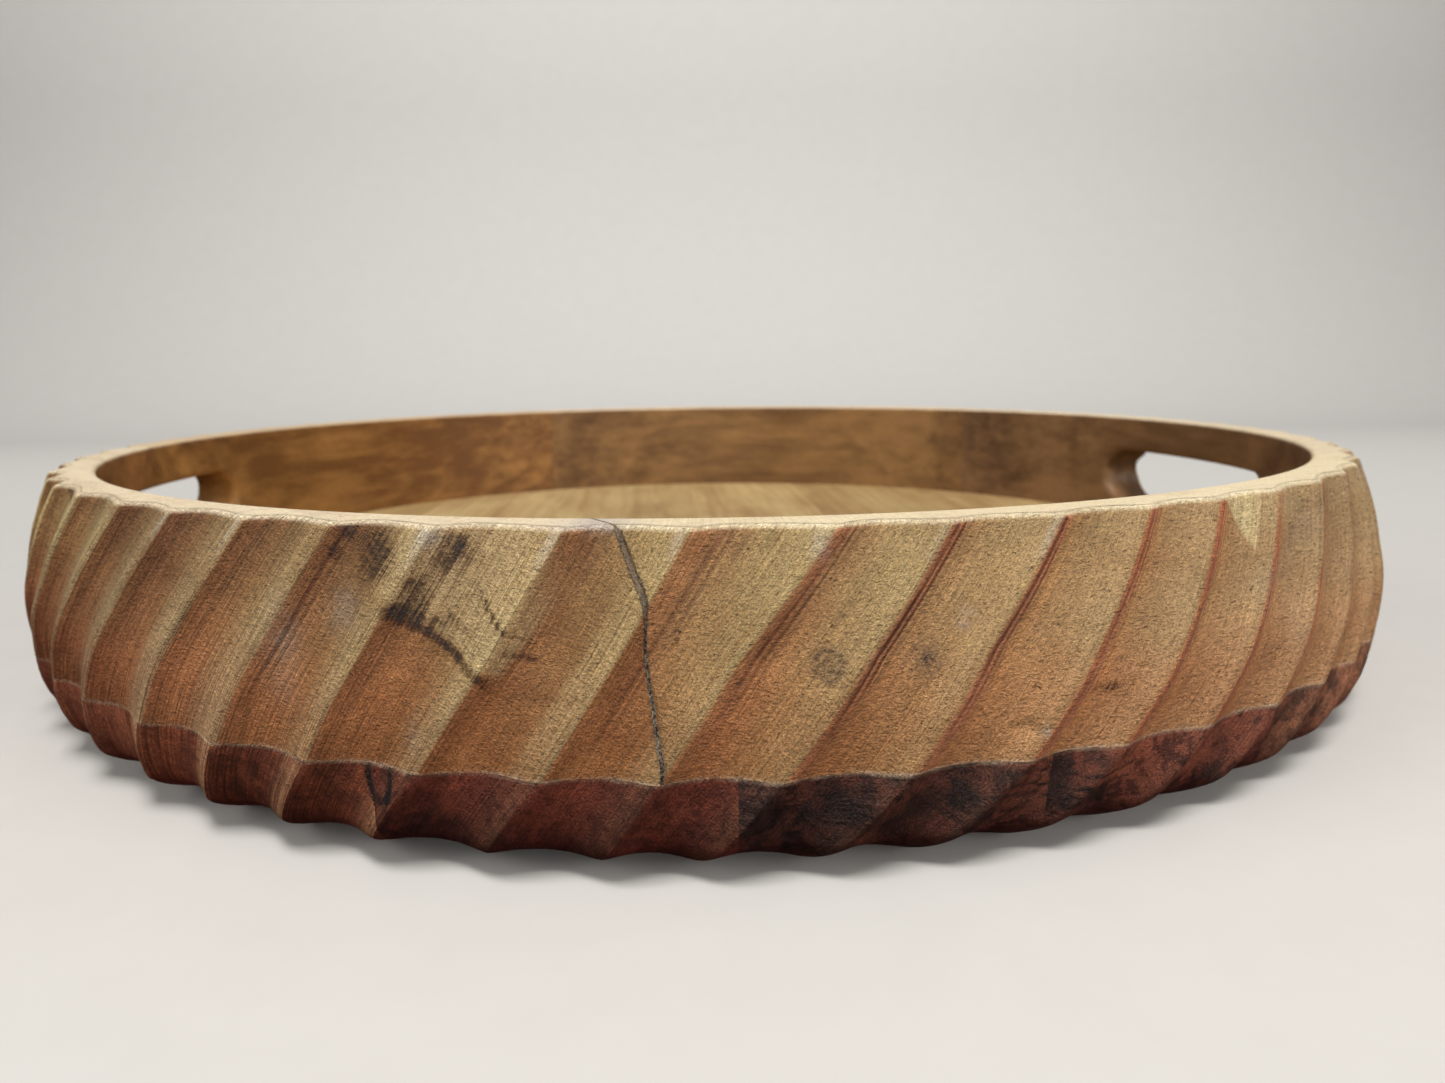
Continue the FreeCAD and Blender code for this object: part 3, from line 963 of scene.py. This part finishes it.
class Timber(Material):
    """Solid timber.  grain: direction of the fibres.  The growth rings are cylinders about
    a line along the grain, the pith, so carving cuts through them."""

    def __init__(self, name, grain, seed, tone, contrast, pith, spacing):
        super().__init__(name)
        self.seed = seed
        mapping = self.node("Mapping", vector_type="POINT")
        mapping.inputs["Rotation"].default_value = (0, 0, -math.radians(grain))
        self.put(mapping.inputs["Vector"], self.place)
        turned = Value(self, mapping.outputs[0])           # metres, X along the grain
        self.at = turned + (seed * 1.37, seed * 0.71, seed * 0.53)
        self.outer, self.top = self.attr("outer"), self.attr("top")
        self.height, self.u = self.attr("height"), self.attr("u")
        self.across = self.math("FRACT", self.u)           # place in the scoop
        self.z = self.height * H

        # growth rings, wandering by two noises
        wander_in = self.solid((5, 26, 26), detail=3, rough=0.55) - 0.5
        wander_up = self.solid((9, 60, 60), detail=2, rough=0.5, shift=(3.1, 1.7, 0.4)) - 0.5
        along, inward, upward = self.split(turned)
        inward = inward * 1000.0 + (pith[0] + wander_in * 34.0)
        upward = upward * 1000.0 + (-pith[1] + wander_up * 16.0)
        ring = self.math("SQRT", inward * inward + upward * upward) / spacing
        bands = self.noise(self.join(ring * 0.55, along * 3.0, seed * 3.1),
                           scale=1, detail=3, rough=0.6)
        saw = self.math("FRACT", ring)
        late_wood = saw.fade(0.55, 0.97) * saw.fade(1.0, 0.975)

        # fields in the solid wood, from broad to fine
        self.cloud = self.solid((14, 30, 30), detail=3, rough=0.55)
        self.streak = self.solid((9, 190, 190), detail=3, rough=0.6)
        self.mottle = self.solid((70, 210, 210), detail=3, rough=0.6, shift=(1.9, 0.2, 2.2))
        self.fibre = self.solid((800, 2300, 2300), detail=2, rough=0.75)
        self.speck = self.solid((2100, 2700, 2700), detail=2, rough=0.7)
        # tool marks along the scoops
        self.lines = self.along_scoop(34.0, 1.3, offset=0, detail=3, rough=0.75)
        self.drift = self.along_scoop(13.0, 1.0, offset=5, detail=2, rough=0.6)

        # darkness of the grain, and the tint it gives
        figure = (bands - 0.5) * (1.1 * contrast) + (self.streak - 0.5) * (0.75 * contrast)
        figure = figure + (self.cloud - 0.5) * 0.9
        self.figure = figure + ((self.mottle - 0.5) * 0.45 + (0.5 + tone))
        vary = self.ramp(self.figure,
                         [(0.0, WHITE), (0.5, (0.80, 0.765, 0.72)), (1.0, (0.50, 0.40, 0.33))])
        vary = vary.toward((0.40, 0.28, 0.22), late_wood * (0.20 * contrast))
        self.vary = vary * (1.26, 1.31, 1.39)

    def solid(self, stretch, detail, rough, shift=None):
        """Noise in the solid wood, stretched along the grain."""
        at = self.at + shift if shift else self.at
        return self.noise(at * stretch, scale=1, detail=detail, rough=rough)

    def along_scoop(self, across, up, offset, detail, rough, height=None):
        """Noise that follows the scoops."""
        at = self.join(self.u * across, (height or self.height) * up, self.seed + offset)
        return self.noise(at, scale=1, detail=detail, rough=rough)

    def drifting(self, amount):
        """Place in the scoop, wavering."""
        return self.across + (self.drift - 0.5) * amount


def carved_face(t, look):
    """Hollows, burnished sides and cutter lines of a wall's outside."""
    across, lines, drift = t.across, t.lines, t.drift
    patch = t.along_scoop(3.4, 1.6, offset=13, detail=2, rough=0.5)
    white_noise = t.node("TexWhiteNoise", noise_dimensions="1D")
    t.put(white_noise.inputs["W"], t.math("FLOOR", t.u) + t.seed)
    random = Value(t, white_noise.outputs["Value"])

    lit = (t.height + (t.cloud - 0.5) * 0.55).fade(0.40, 0.95)
    col = t.mix(lit, look["low"], look["up"])
    # red hollow side after a crest
    edge = across + ((random - 0.5) * 0.06 + (drift - 0.5) * 0.16)
    red = across.fade(0.015, 0.075) * edge.fade(0.64, 0.20)
    red = red * patch.fade(0.2, 0.55, to=(0.70, 1.08))
    red = (red * t.attr("redamt")).times_clamped(look["red_amt"])
    col = col.toward(t.mix(lit, look["red2"], look["red"]), red)
    flank = across.fade(0.018, 0.040) * t.drifting(0.07).fade(0.215, 0.160)
    flank = (flank * t.attr("flank")).times_clamped(patch.fade(0.25, 0.55, to=(0.60, 0.95)))
    col = col.toward(look["flank"], flank)
    # on the right, darker beside the crest, and painted light lifting the hollow further in
    col = col.tinted((0.96, 0.78, 0.68), across.fade(0.120, 0.060) * t.attr("brow"))
    painted_hollow_light = across.fade(0.10, 0.18) * across.fade(0.40, 0.28) * t.attr("brow")
    col = col.tinted((1.20, 1.19, 1.10), painted_hollow_light)
    # pale, burnished side before a crest, running a little over it
    over = (across - t.attr("palewide") * 0.032).fade(0.042, 0.010)
    start = 0.60 - t.attr("palewide") * 0.27
    end = 0.97 - t.attr("palewide") * 0.13
    pale = t.math("MAXIMUM", t.drifting(0.24).fade(start, end), over)
    pale = pale * lines.fade(0.30, 0.60, to=(0.42, 1.14))
    pale = (pale * t.attr("paleamt")).times_clamped(look["pale_amt"])
    col = col.toward(look["pale"], pale)
    col = t.times(col, t.vary.toward(WHITE, pale * 0.55))
    # tint: partly the timber's own tint, partly painted light and shade
    col = col * t.attr("tint", "Vector")
    # fine lines left by the cutter
    cut = lines.fade(0.44, 0.28) * patch.fade(0.34, 0.60, to=(0.35, 1.0))
    return col.tinted((0.56, 0.40, 0.32), cut * (t.attr("tool") * 0.85))


def scorched(t, col):
    """Scorched lines beside some crests."""
    from_crest = t.across * SCOOP_MM
    first = t.attr("scorch")
    burn = 0.0
    # offset and half width in mm, strength
    for offset, width, power in ((0.0, 0.85, 1.0), (1.45, 0.62, 0.85), (2.8, 0.7, 0.35),
                                 (-1.0, 0.45, 0.3)):
        d = t.math("ABSOLUTE", from_crest - (first + (offset + (t.drift - 0.5) * 0.5)))
        burn = t.math("MAXIMUM", burn, d.fade(width, width * 0.15) * power)
    broken = t.along_scoop(4.0, 3.0, offset=9, detail=2, rough=0.6)
    burn = burn * broken.fade(0.34, 0.56, to=(0.25, 1.0))
    burn = burn * (t.height.fade(0.36, 0.66) * t.attr("scorchamt"))
    return col.toward((0.090, 0.020, 0.008), burn * 0.95)


def figured(t, col):
    """Sapwood, dark heart figure, veins, grey weathering and knots."""
    lines = t.lines
    sap = t.mix(lines.fade(0.30, 0.62), (0.47, 0.33, 0.145), (0.64, 0.50, 0.265))
    col = col.toward(sap, t.attr("sap") * 0.92)
    grain = lines * 0.55 + (t.fibre * 0.25 + t.mottle * 0.35)
    dark = t.attr("dark").times_clamped(grain.fade(0.66, 0.46, to=(0.48, 1.25)))
    col = col.tinted((0.42, 0.34, 0.27), dark.fade(0.02, 0.55))
    col = col.toward((0.026, 0.018, 0.015), dark.fade(0.25, 0.95))
    clump = t.along_scoop(5.0, 9.0, offset=31, detail=2, rough=0.6).fade(0.48, 0.62)
    veins = t.attr("veins") * lines.fade(0.47, 0.36) * clump
    col = col.toward((0.055, 0.036, 0.022), veins * 0.75)
    grey = t.attr("grey") * t.mottle.fade(0.3, 0.6, to=(0.35, 0.8))
    col = col.toward((0.43, 0.40, 0.345), grey)
    knot = t.attr("knot").times_clamped(t.fibre.fade(0.62, 0.40, to=(0.75, 1.1)))
    return col.toward((0.060, 0.034, 0.024), knot)


def chalked_and_stained(t, col):
    """Chalky crests near the rim, and the stained edges of the filled joint."""
    crest = t.math("MAXIMUM", t.across.fade(0.90, 0.985), t.across.fade(0.05, 0.0))
    chalk = crest * t.height.fade(0.84, 0.97)
    chalk = chalk * t.noise(t.at, scale=90, detail=2, rough=0.6).fade(0.46, 0.62)
    col = col.toward((0.56, 0.49, 0.38), chalk * 0.45)
    # distance in mm from the middle of the joint, made ragged
    across_seam = t.vector_math("DOT_PRODUCT", t.place, (*SEAM_NORMAL.tolist(), 0.0))
    d = (across_seam - float(SEAM_MIDDLE @ SEAM_NORMAL) * MM) * 1000.0
    d = d + (t.noise(t.place, scale=900, detail=2, rough=0.6) - 0.5) * 0.6
    stain = t.math("ABSOLUTE", d).fade(0.58, 0.36) * t.height.fade(0.74, 0.80, to=(0.30, 0.9))
    stain = stain * t.attr("seam") * t.speck.fade(0.35, 0.6, to=(0.5, 1.0))
    return col.toward((0.045, 0.030, 0.022), stain)


def wall_colour(t, look):
    col = chalked_and_stained(t, figured(t, scorched(t, carved_face(t, look))))
    # rim almost bare, the inside oiled
    rim = t.times(look["rim"], t.vary.toward(WHITE, 0.55))
    rim = rim.toward((0.42, 0.28, 0.20), t.mottle.fade(0.5, 0.75) * 0.22)
    rim = rim.toward((0.42, 0.37, 0.37), t.attr("lilac") * 0.6)
    oil = t.ramp((t.figure - 0.5) * 2.1 + 0.5,
                 [(0.0, (1.50, 1.55, 1.60)), (0.5, WHITE), (1.0, (0.55, 0.48, 0.42))])
    oil = t.times(look["oil"], oil)
    inside = (1.0 - t.outer) * (1.0 - t.top)
    return col.toward(oil, inside).toward(rim, t.top)


def base_colour(t, look):
    """Tan in the well, red and blotched outside."""
    across, lines, cloud = t.across, t.lines, t.cloud
    tan = t.mix(cloud.fade(0.3, 0.7), (0.53, 0.385, 0.178), (0.475, 0.32, 0.146))
    tan = t.times(tan, t.vary) * look["well"]
    red = t.mix(cloud.fade(0.35, 0.65), look["light"], look["deep"])
    red = t.times(red, t.vary.toward(WHITE, 0.4))
    hollow = across.fade(0.015, 0.075) * across.fade(0.62, 0.22)
    red = red.tinted((0.62, 0.50, 0.46), hollow * look["hollow"])
    # evens out the shading of the scoops
    flat_amount = 0.30 * look["flat"]
    flat = 1.0 + (hollow * flat_amount - across.fade(0.40, 0.75) * flat_amount)
    red = red * t.join(flat, flat, flat) * (1.02, 0.95, 0.86)
    # painted contact shadow: darker and redder towards the foot, below 11 mm
    red = red.tinted((0.86, 0.72, 0.80), t.z.fade(11.0, 5.5))
    blot = t.mottle.fade(0.44, 0.58) * (cloud + (t.speck - 0.5) * 0.3).fade(0.40, 0.54)
    red = red.toward((0.034, 0.016, 0.013), blot * look["blot"])
    pale = t.drifting(0.3).fade(0.60, 0.98) * t.attr("paleamt")
    pale = pale * lines.fade(0.26, 0.62, to=(0.6, 1.1)) * look["pale_amt"]
    red = red.toward(look["pale"], pale)
    red = red.toward((0.055, 0.024, 0.018), lines.fade(0.42, 0.26) * 0.5)
    # finer blots, gathered in zones
    fine = t.solid((420, 420, 420), detail=4, rough=0.66, shift=(0.7, 2.2, 1.1))
    zone = t.solid((95, 95, 130), detail=2, rough=0.55, shift=(4.7, 0.2, 3.1))
    fine = fine + (zone - 0.5) * 0.55
    red = red.tinted((0.20, 0.16, 0.20), fine.fade(0.50, 0.60) * (look["blot"] * 0.85))
    red = red.tinted((1.45, 1.40, 1.25), fine.fade(0.44, 0.36) * 0.35)
    grain = t.mottle * 0.55 + t.fibre * 0.5
    dark = t.attr("dark").times_clamped(grain.fade(0.62, 0.44, to=(0.62, 1.25)))
    red = red.toward((0.012, 0.008, 0.007), dark.fade(0.05, 0.85))
    return t.mix(t.outer, tan, red)


def wood(name, look, wall, grain, seed, contrast, spacing):
    t = Timber(name, grain, seed, look["tone"], contrast, look["pith"], spacing)
    outer, fibre, speck = t.outer, t.fibre, t.speck
    col = (wall_colour if wall else base_colour)(t, look)

    # pale, broken glue line
    glue = t.attr("glue") * outer * t.streak.fade(0.30, 0.60, to=(0.35, 1.0))
    gaps = t.noise(t.at, scale=260, detail=2, rough=0.6)
    glue = glue * gaps.fade(0.35, 0.6, to=(0.35, 1.0))
    col = col.toward((0.55, 0.40, 0.27), glue * 0.75)

    # fibres, grit, cutter hairlines and pores; stronger outside
    pore = t.solid((420, 2900, 2900), detail=1, rough=0.5, shift=(0.3, 0.9, 0.2))
    pore = pore.fade(0.67, 0.76)
    grit = t.solid((3600, 5200, 5200), detail=1, rough=0.6)
    hair = t.along_scoop(72.0, 3.6, offset=17, detail=2, rough=0.7)
    shade = (fibre * 0.68 + speck * 0.32).fade(0.33, 0.67, to=(0.60, 1.34), kind="LINEAR")
    shade = 1.0 + (shade - 1.0) * (0.45 + outer * 0.55)
    grain_shade = grit.fade(0.28, 0.72, to=(0.68, 1.27), kind="LINEAR")
    hair_shade = hair.fade(0.30, 0.64, to=(0.50, 1.36), kind="LINEAR") - 1.0
    grain_shade = grain_shade * (1.0 + hair_shade * t.attr("tool"))
    outer_grit = outer * (0.65 if wall else 1.0)
    grain_shade = 1.0 + (grain_shade - 1.0) * (0.35 + outer_grit)
    shade = shade * grain_shade
    col = t.times(col, t.join(shade, shade, shade))
    col = col.toward((0.09, 0.045, 0.025), pore * (0.30 + outer * 0.15))

    relief = fibre * 0.55 + pore * -0.8
    relief = relief + (speck * 0.55 + grit * 0.30)
    normal = t.bump(relief * (0.18 + outer * 0.82), distance=0.00042, strength=1.0)
    lump = t.solid((760, 1050, 1050), detail=3, rough=0.62, shift=(0.9, 1.3, 2.9))
    normal = t.bump(lump * outer, distance=0.00034, strength=0.8, normal=normal)
    normal = t.bump(t.lines * outer, distance=0.00050, strength=0.7, normal=normal)
    # chatter: short ripples across the burnished side
    ripple = t.along_scoop(3.0, 0.95, offset=21, detail=2, rough=0.55, height=t.z)
    where = t.along_scoop(0.9, 2.2, offset=3, detail=1, rough=0.5).fade(0.52, 0.64)
    where = t.across.fade(0.5, 0.75) * where
    normal = t.bump(ripple * (where * outer), distance=0.00042, strength=0.7, normal=normal)
    return t.surface({
        "Base Color": col,
        "Roughness": 0.44 + outer * 0.14 + (t.streak - 0.5) * 0.22 + t.top * 0.10,
        "Specular IOR Level": 0.35,
        "Normal": normal,
    })


def filler_material():
    m = Material("dark_filling")
    grit = m.noise(m.place, scale=1600, detail=3, rough=0.75)
    patch = m.noise(m.place, scale=420, detail=2, rough=0.5)
    col = m.ramp(grit, [(0.36, (0.012, 0.009, 0.008)), (0.47, (0.060, 0.046, 0.036)),
                        (0.60, (0.34, 0.27, 0.19))])
    near_rim = m.split(m.place)[2].fade(0.044, 0.048)      # metres
    return m.surface({
        "Base Color": col.toward((0.20, 0.14, 0.085),
                                 near_rim * patch.fade(0.35, 0.65, to=(0.25, 0.85))),
        "Roughness": grit.fade(0.3, 0.7, to=(0.62, 0.9)),
        "Normal": m.bump(grit, distance=0.0004, strength=1.0),
    })


# ------------------------------------------------------------------ dressing the pieces
# Wall blocks.  span: directions of the ends; grain_trim: degrees the grain is turned from
# square to the middle of the block; tone: darkness; pith: (in, up) and spacing of the
# growth rings, mm.  Albedo: carved face above (up) and below (low), hollow side above (red)
# and below (red2), strip beside the crest (flank), burnished side (pale), rim, inside (oil).
BLOCKS = {
    "front_right": dict(
        span=(SEAM_ANGLE, JOINT_RIGHT), grain_trim=0.125, seed=1.3, tone=0.02, contrast=0.60,
        pith=(-70, -90), spacing=7.5, up=(0.338, 0.223, 0.101), low=(0.415, 0.203, 0.080),
        red=(0.38, 0.152, 0.060), red2=(0.56, 0.205, 0.080), flank=(0.46, 0.180, 0.088),
        pale=(0.435, 0.312, 0.154), rim=(0.78, 0.655, 0.43), oil=(0.25, 0.128, 0.048),
        red_amt=0.62, pale_amt=0.72),
    "back": dict(
        span=(JOINT_BACK_RIGHT, JOINT_BACK_LEFT), grain_trim=0.0, seed=4.1, tone=0.00,
        contrast=0.9, pith=(-90, 60), spacing=7.0, up=(0.40, 0.245, 0.115),
        low=(0.40, 0.19, 0.075), red=(0.25, 0.10, 0.045), red2=(0.33, 0.13, 0.052),
        flank=(0.38, 0.135, 0.058), pale=(0.50, 0.36, 0.19), rim=(0.74, 0.58, 0.38),
        oil=(0.180, 0.091, 0.030), red_amt=0.65, pale_amt=0.65),
    "right": dict(
        span=(JOINT_RIGHT, JOINT_BACK_RIGHT), grain_trim=0.0, seed=2.9, tone=-0.05,
        contrast=0.8, pith=(-110, 70), spacing=6.0, up=(0.40, 0.25, 0.120),
        low=(0.43, 0.205, 0.080), red=(0.33, 0.130, 0.056), red2=(0.42, 0.155, 0.062),
        flank=(0.46, 0.165, 0.072), pale=(0.50, 0.37, 0.20), rim=(0.77, 0.64, 0.44),
        oil=(0.154, 0.079, 0.032), red_amt=0.62, pale_amt=0.6),
    "back_left": dict(
        span=(JOINT_BACK_LEFT, JOINT_LEFT), grain_trim=0.0, seed=5.7, tone=0.12,
        contrast=0.9, pith=(-60, -70), spacing=6.5, up=(0.36, 0.215, 0.100),
        low=(0.37, 0.17, 0.068), red=(0.21, 0.082, 0.035), red2=(0.31, 0.12, 0.047),
        flank=(0.30, 0.105, 0.045), pale=(0.46, 0.33, 0.17), rim=(0.70, 0.54, 0.34),
        oil=(0.270, 0.126, 0.034), red_amt=0.68, pale_amt=0.65),
    "front_left": dict(
        span=(JOINT_LEFT, SEAM_ANGLE + 360.0), grain_trim=0.05, seed=7.2, tone=0.06,
        contrast=0.85, pith=(-80, -60), spacing=8.0, up=(0.265, 0.155, 0.065),
        low=(0.365, 0.158, 0.057), red=(0.265, 0.114, 0.046), red2=(0.52, 0.220, 0.084),
        flank=(0.28, 0.098, 0.040), pale=(0.455, 0.322, 0.163), rim=(0.77, 0.64, 0.44),
        oil=(0.26, 0.116, 0.036), red_amt=0.80, pale_amt=0.90),
}


def dress(ob, material, node):
    ob.data.materials.append(material)
    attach(ob, "root")
    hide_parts(node)


for tag, ob in walls.items():
    look = BLOCKS[tag]
    middle = sum(look["span"]) / 2
    annotate(ob, True, middle)
    material = wood("wood_" + tag, look, wall=True, grain=middle + 90 + look["grain_trim"],
                    seed=look["seed"], contrast=look["contrast"], spacing=look["spacing"])
    dress(ob, material, "wall_" + tag)
for i, (tag, ob) in enumerate(planks.items()):
    node = "base_plank_" + tag
    annotate(ob, False, 180.0 if tag.startswith("left") else 0.0)
    material = wood("wood_" + node, PLANKS[tag], wall=False, grain=PLANK_TURN + 90,
                    seed=11.0 + 2.3 * i, contrast=1.0, spacing=5.0)
    dress(ob, material, node)
dress(filler, filler_material(), "joint_filler")


# ------------------------------------------------------------------ floor and backdrop
def paper_material():
    m = Material("studio_paper")
    cloud = m.noise(m.place, scale=60, detail=3, rough=0.6)
    return m.surface({
        "Base Color": m.mix(cloud, (0.60, 0.585, 0.56), (0.64, 0.625, 0.60)),
        "Roughness": 0.9,
        "Specular IOR Level": 0.15,
    })


def make_stage():
    """Pale sweep: a floor that rises into a backdrop behind the tray (metres)."""
    floor_end, bend, half_width = 0.75, 0.45, 3.2
    profile = [(-2.5, 0.0), (floor_end, 0.0)]
    for i in range(1, 13):
        a = math.radians(i * 7.5)
        profile.append((floor_end + bend * math.sin(a), bend * (1 - math.cos(a))))
    profile.append((floor_end + bend, 2.6))
    turn = math.radians(VIEW_TURN)
    verts = [(x * math.cos(turn) - y * math.sin(turn), x * math.sin(turn) + y * math.cos(turn), z)
             for y, z in profile for x in (-half_width, half_width)]
    faces = [(2 * i, 2 * i + 1, 2 * i + 3, 2 * i + 2) for i in range(len(profile) - 1)]
    me = bpy.data.meshes.new("studio_sweep")
    me.from_pydata(verts, [], faces)
    for face in me.polygons:
        face.use_smooth = True
    ob = bpy.data.objects.new("studio_sweep", me)
    bpy.context.scene.collection.objects.link(ob)
    me.materials.append(paper_material())
    # the sweep does not throw its own light back up at the underside of the tray
    ob.visible_diffuse = False
    ob.visible_glossy = False


make_stage()


# ------------------------------------------------------------------ light
def make_world():
    """Pale above and dim red below for lighting; plain pale grey to the camera."""
    world = bpy.data.worlds.new("studio")
    bpy.context.scene.world = world
    world.use_nodes = True
    g = Graph(world.node_tree)
    upward = g.split(g.coordinates("Generated"))[2]
    sky = g.ramp(g.math("MULTIPLY_ADD", upward, 0.5, 0.5),
                 [(0.42, (0.085, 0.035, 0.030)), (0.56, (0.98, 0.97, 0.95))])
    lighting = g.fill(g.tree.nodes["Background"], (sky, 0.25))
    seen = g.fill(g.node("Background"), ((0.64, 0.625, 0.605), 1.0))
    to_camera = g.fill(g.node("LightPath"), (), "Is Camera Ray")
    pick = g.fill(g.node("MixShader"), (to_camera, lighting, seen))
    g.put(g.tree.nodes["World Output"].inputs[0], pick)


def area(name, azimuth, elevation, distance, size, power, colour, target=(0, -0.05, 0.03)):
    """Soft box aimed at target (metres); azimuth in degrees to the right of the camera."""
    light = bpy.data.lights.new(name, "AREA")
    light.shape = "RECTANGLE"
    light.size, light.size_y = size
    light.energy = power
    light.color = colour
    a, e = math.radians(FRONT + azimuth), math.radians(elevation)
    aim = Vector(target)
    ob = bpy.data.objects.new(name, light)
    ob.location = aim + distance * Vector((math.cos(a) * math.cos(e),
                                           math.sin(a) * math.cos(e), math.sin(e)))
    ob.rotation_euler = (aim - ob.location).to_track_quat("-Z", "Y").to_euler()
    bpy.context.scene.collection.objects.link(ob)


make_world()
area("key", azimuth=8, elevation=64, distance=1.5, size=(0.42, 0.42), power=18.5,
     colour=(1.0, 0.975, 0.94))
area("side", azimuth=-62, elevation=30, distance=1.6, size=(0.8, 0.8), power=6.3,
     colour=(1.0, 0.985, 0.97))
area("right", azimuth=55, elevation=18, distance=1.6, size=(0.8, 0.6), power=6.8,
     colour=(1.0, 0.975, 0.95))
area("front", azimuth=4, elevation=14, distance=1.7, size=(0.9, 0.6), power=3.6,
     colour=(1.0, 0.985, 0.96))
area("backdrop", azimuth=0, elevation=22, distance=0.85, size=(1.9, 0.4), power=6.8,
     colour=(1.0, 0.99, 0.985), target=(0.12, 1.15, 0.55))


# ------------------------------------------------------------------ camera
def make_camera(place, yaw, pitch, roll):
    """Camera at place (metres), turned by yaw to the right, pitch down and roll (radians);
    all of it is then turned about Z with the view."""
    turn = Matrix.Rotation(math.radians(VIEW_TURN), 3, "Z")
    forward = Vector((math.sin(yaw) * math.cos(pitch), math.cos(yaw) * math.cos(pitch),
                      -math.sin(pitch)))
    level = Vector((math.cos(yaw), -math.sin(yaw), 0.0))
    upright = level.cross(forward)
    right = level * math.cos(roll) + upright * math.sin(roll)
    up = -level * math.sin(roll) + upright * math.cos(roll)
    axes = Matrix((turn @ right, turn @ up, -(turn @ forward))).transposed()
    data = bpy.data.cameras.new("camera")
    camera = bpy.data.objects.new("camera", data)
    camera.matrix_world = Matrix.Translation(turn @ Vector(place)) @ axes.to_4x4()
    data.sensor_fit = "HORIZONTAL"
    data.sensor_width = 36.0
    data.lens = 24.7017301
    data.clip_start = 0.01
    data.clip_end = 20
    data.dof.use_dof = True
    data.dof.focus_distance = 0.155
    data.dof.aperture_fstop = 22.0
    bpy.context.scene.collection.objects.link(camera)
    bpy.context.scene.camera = camera


make_camera(place=(0.0, -0.32957, 0.08324), yaw=0.0133, pitch=0.1852, roll=-0.0119)
bpy.context.scene.view_settings.view_transform = "Standard"
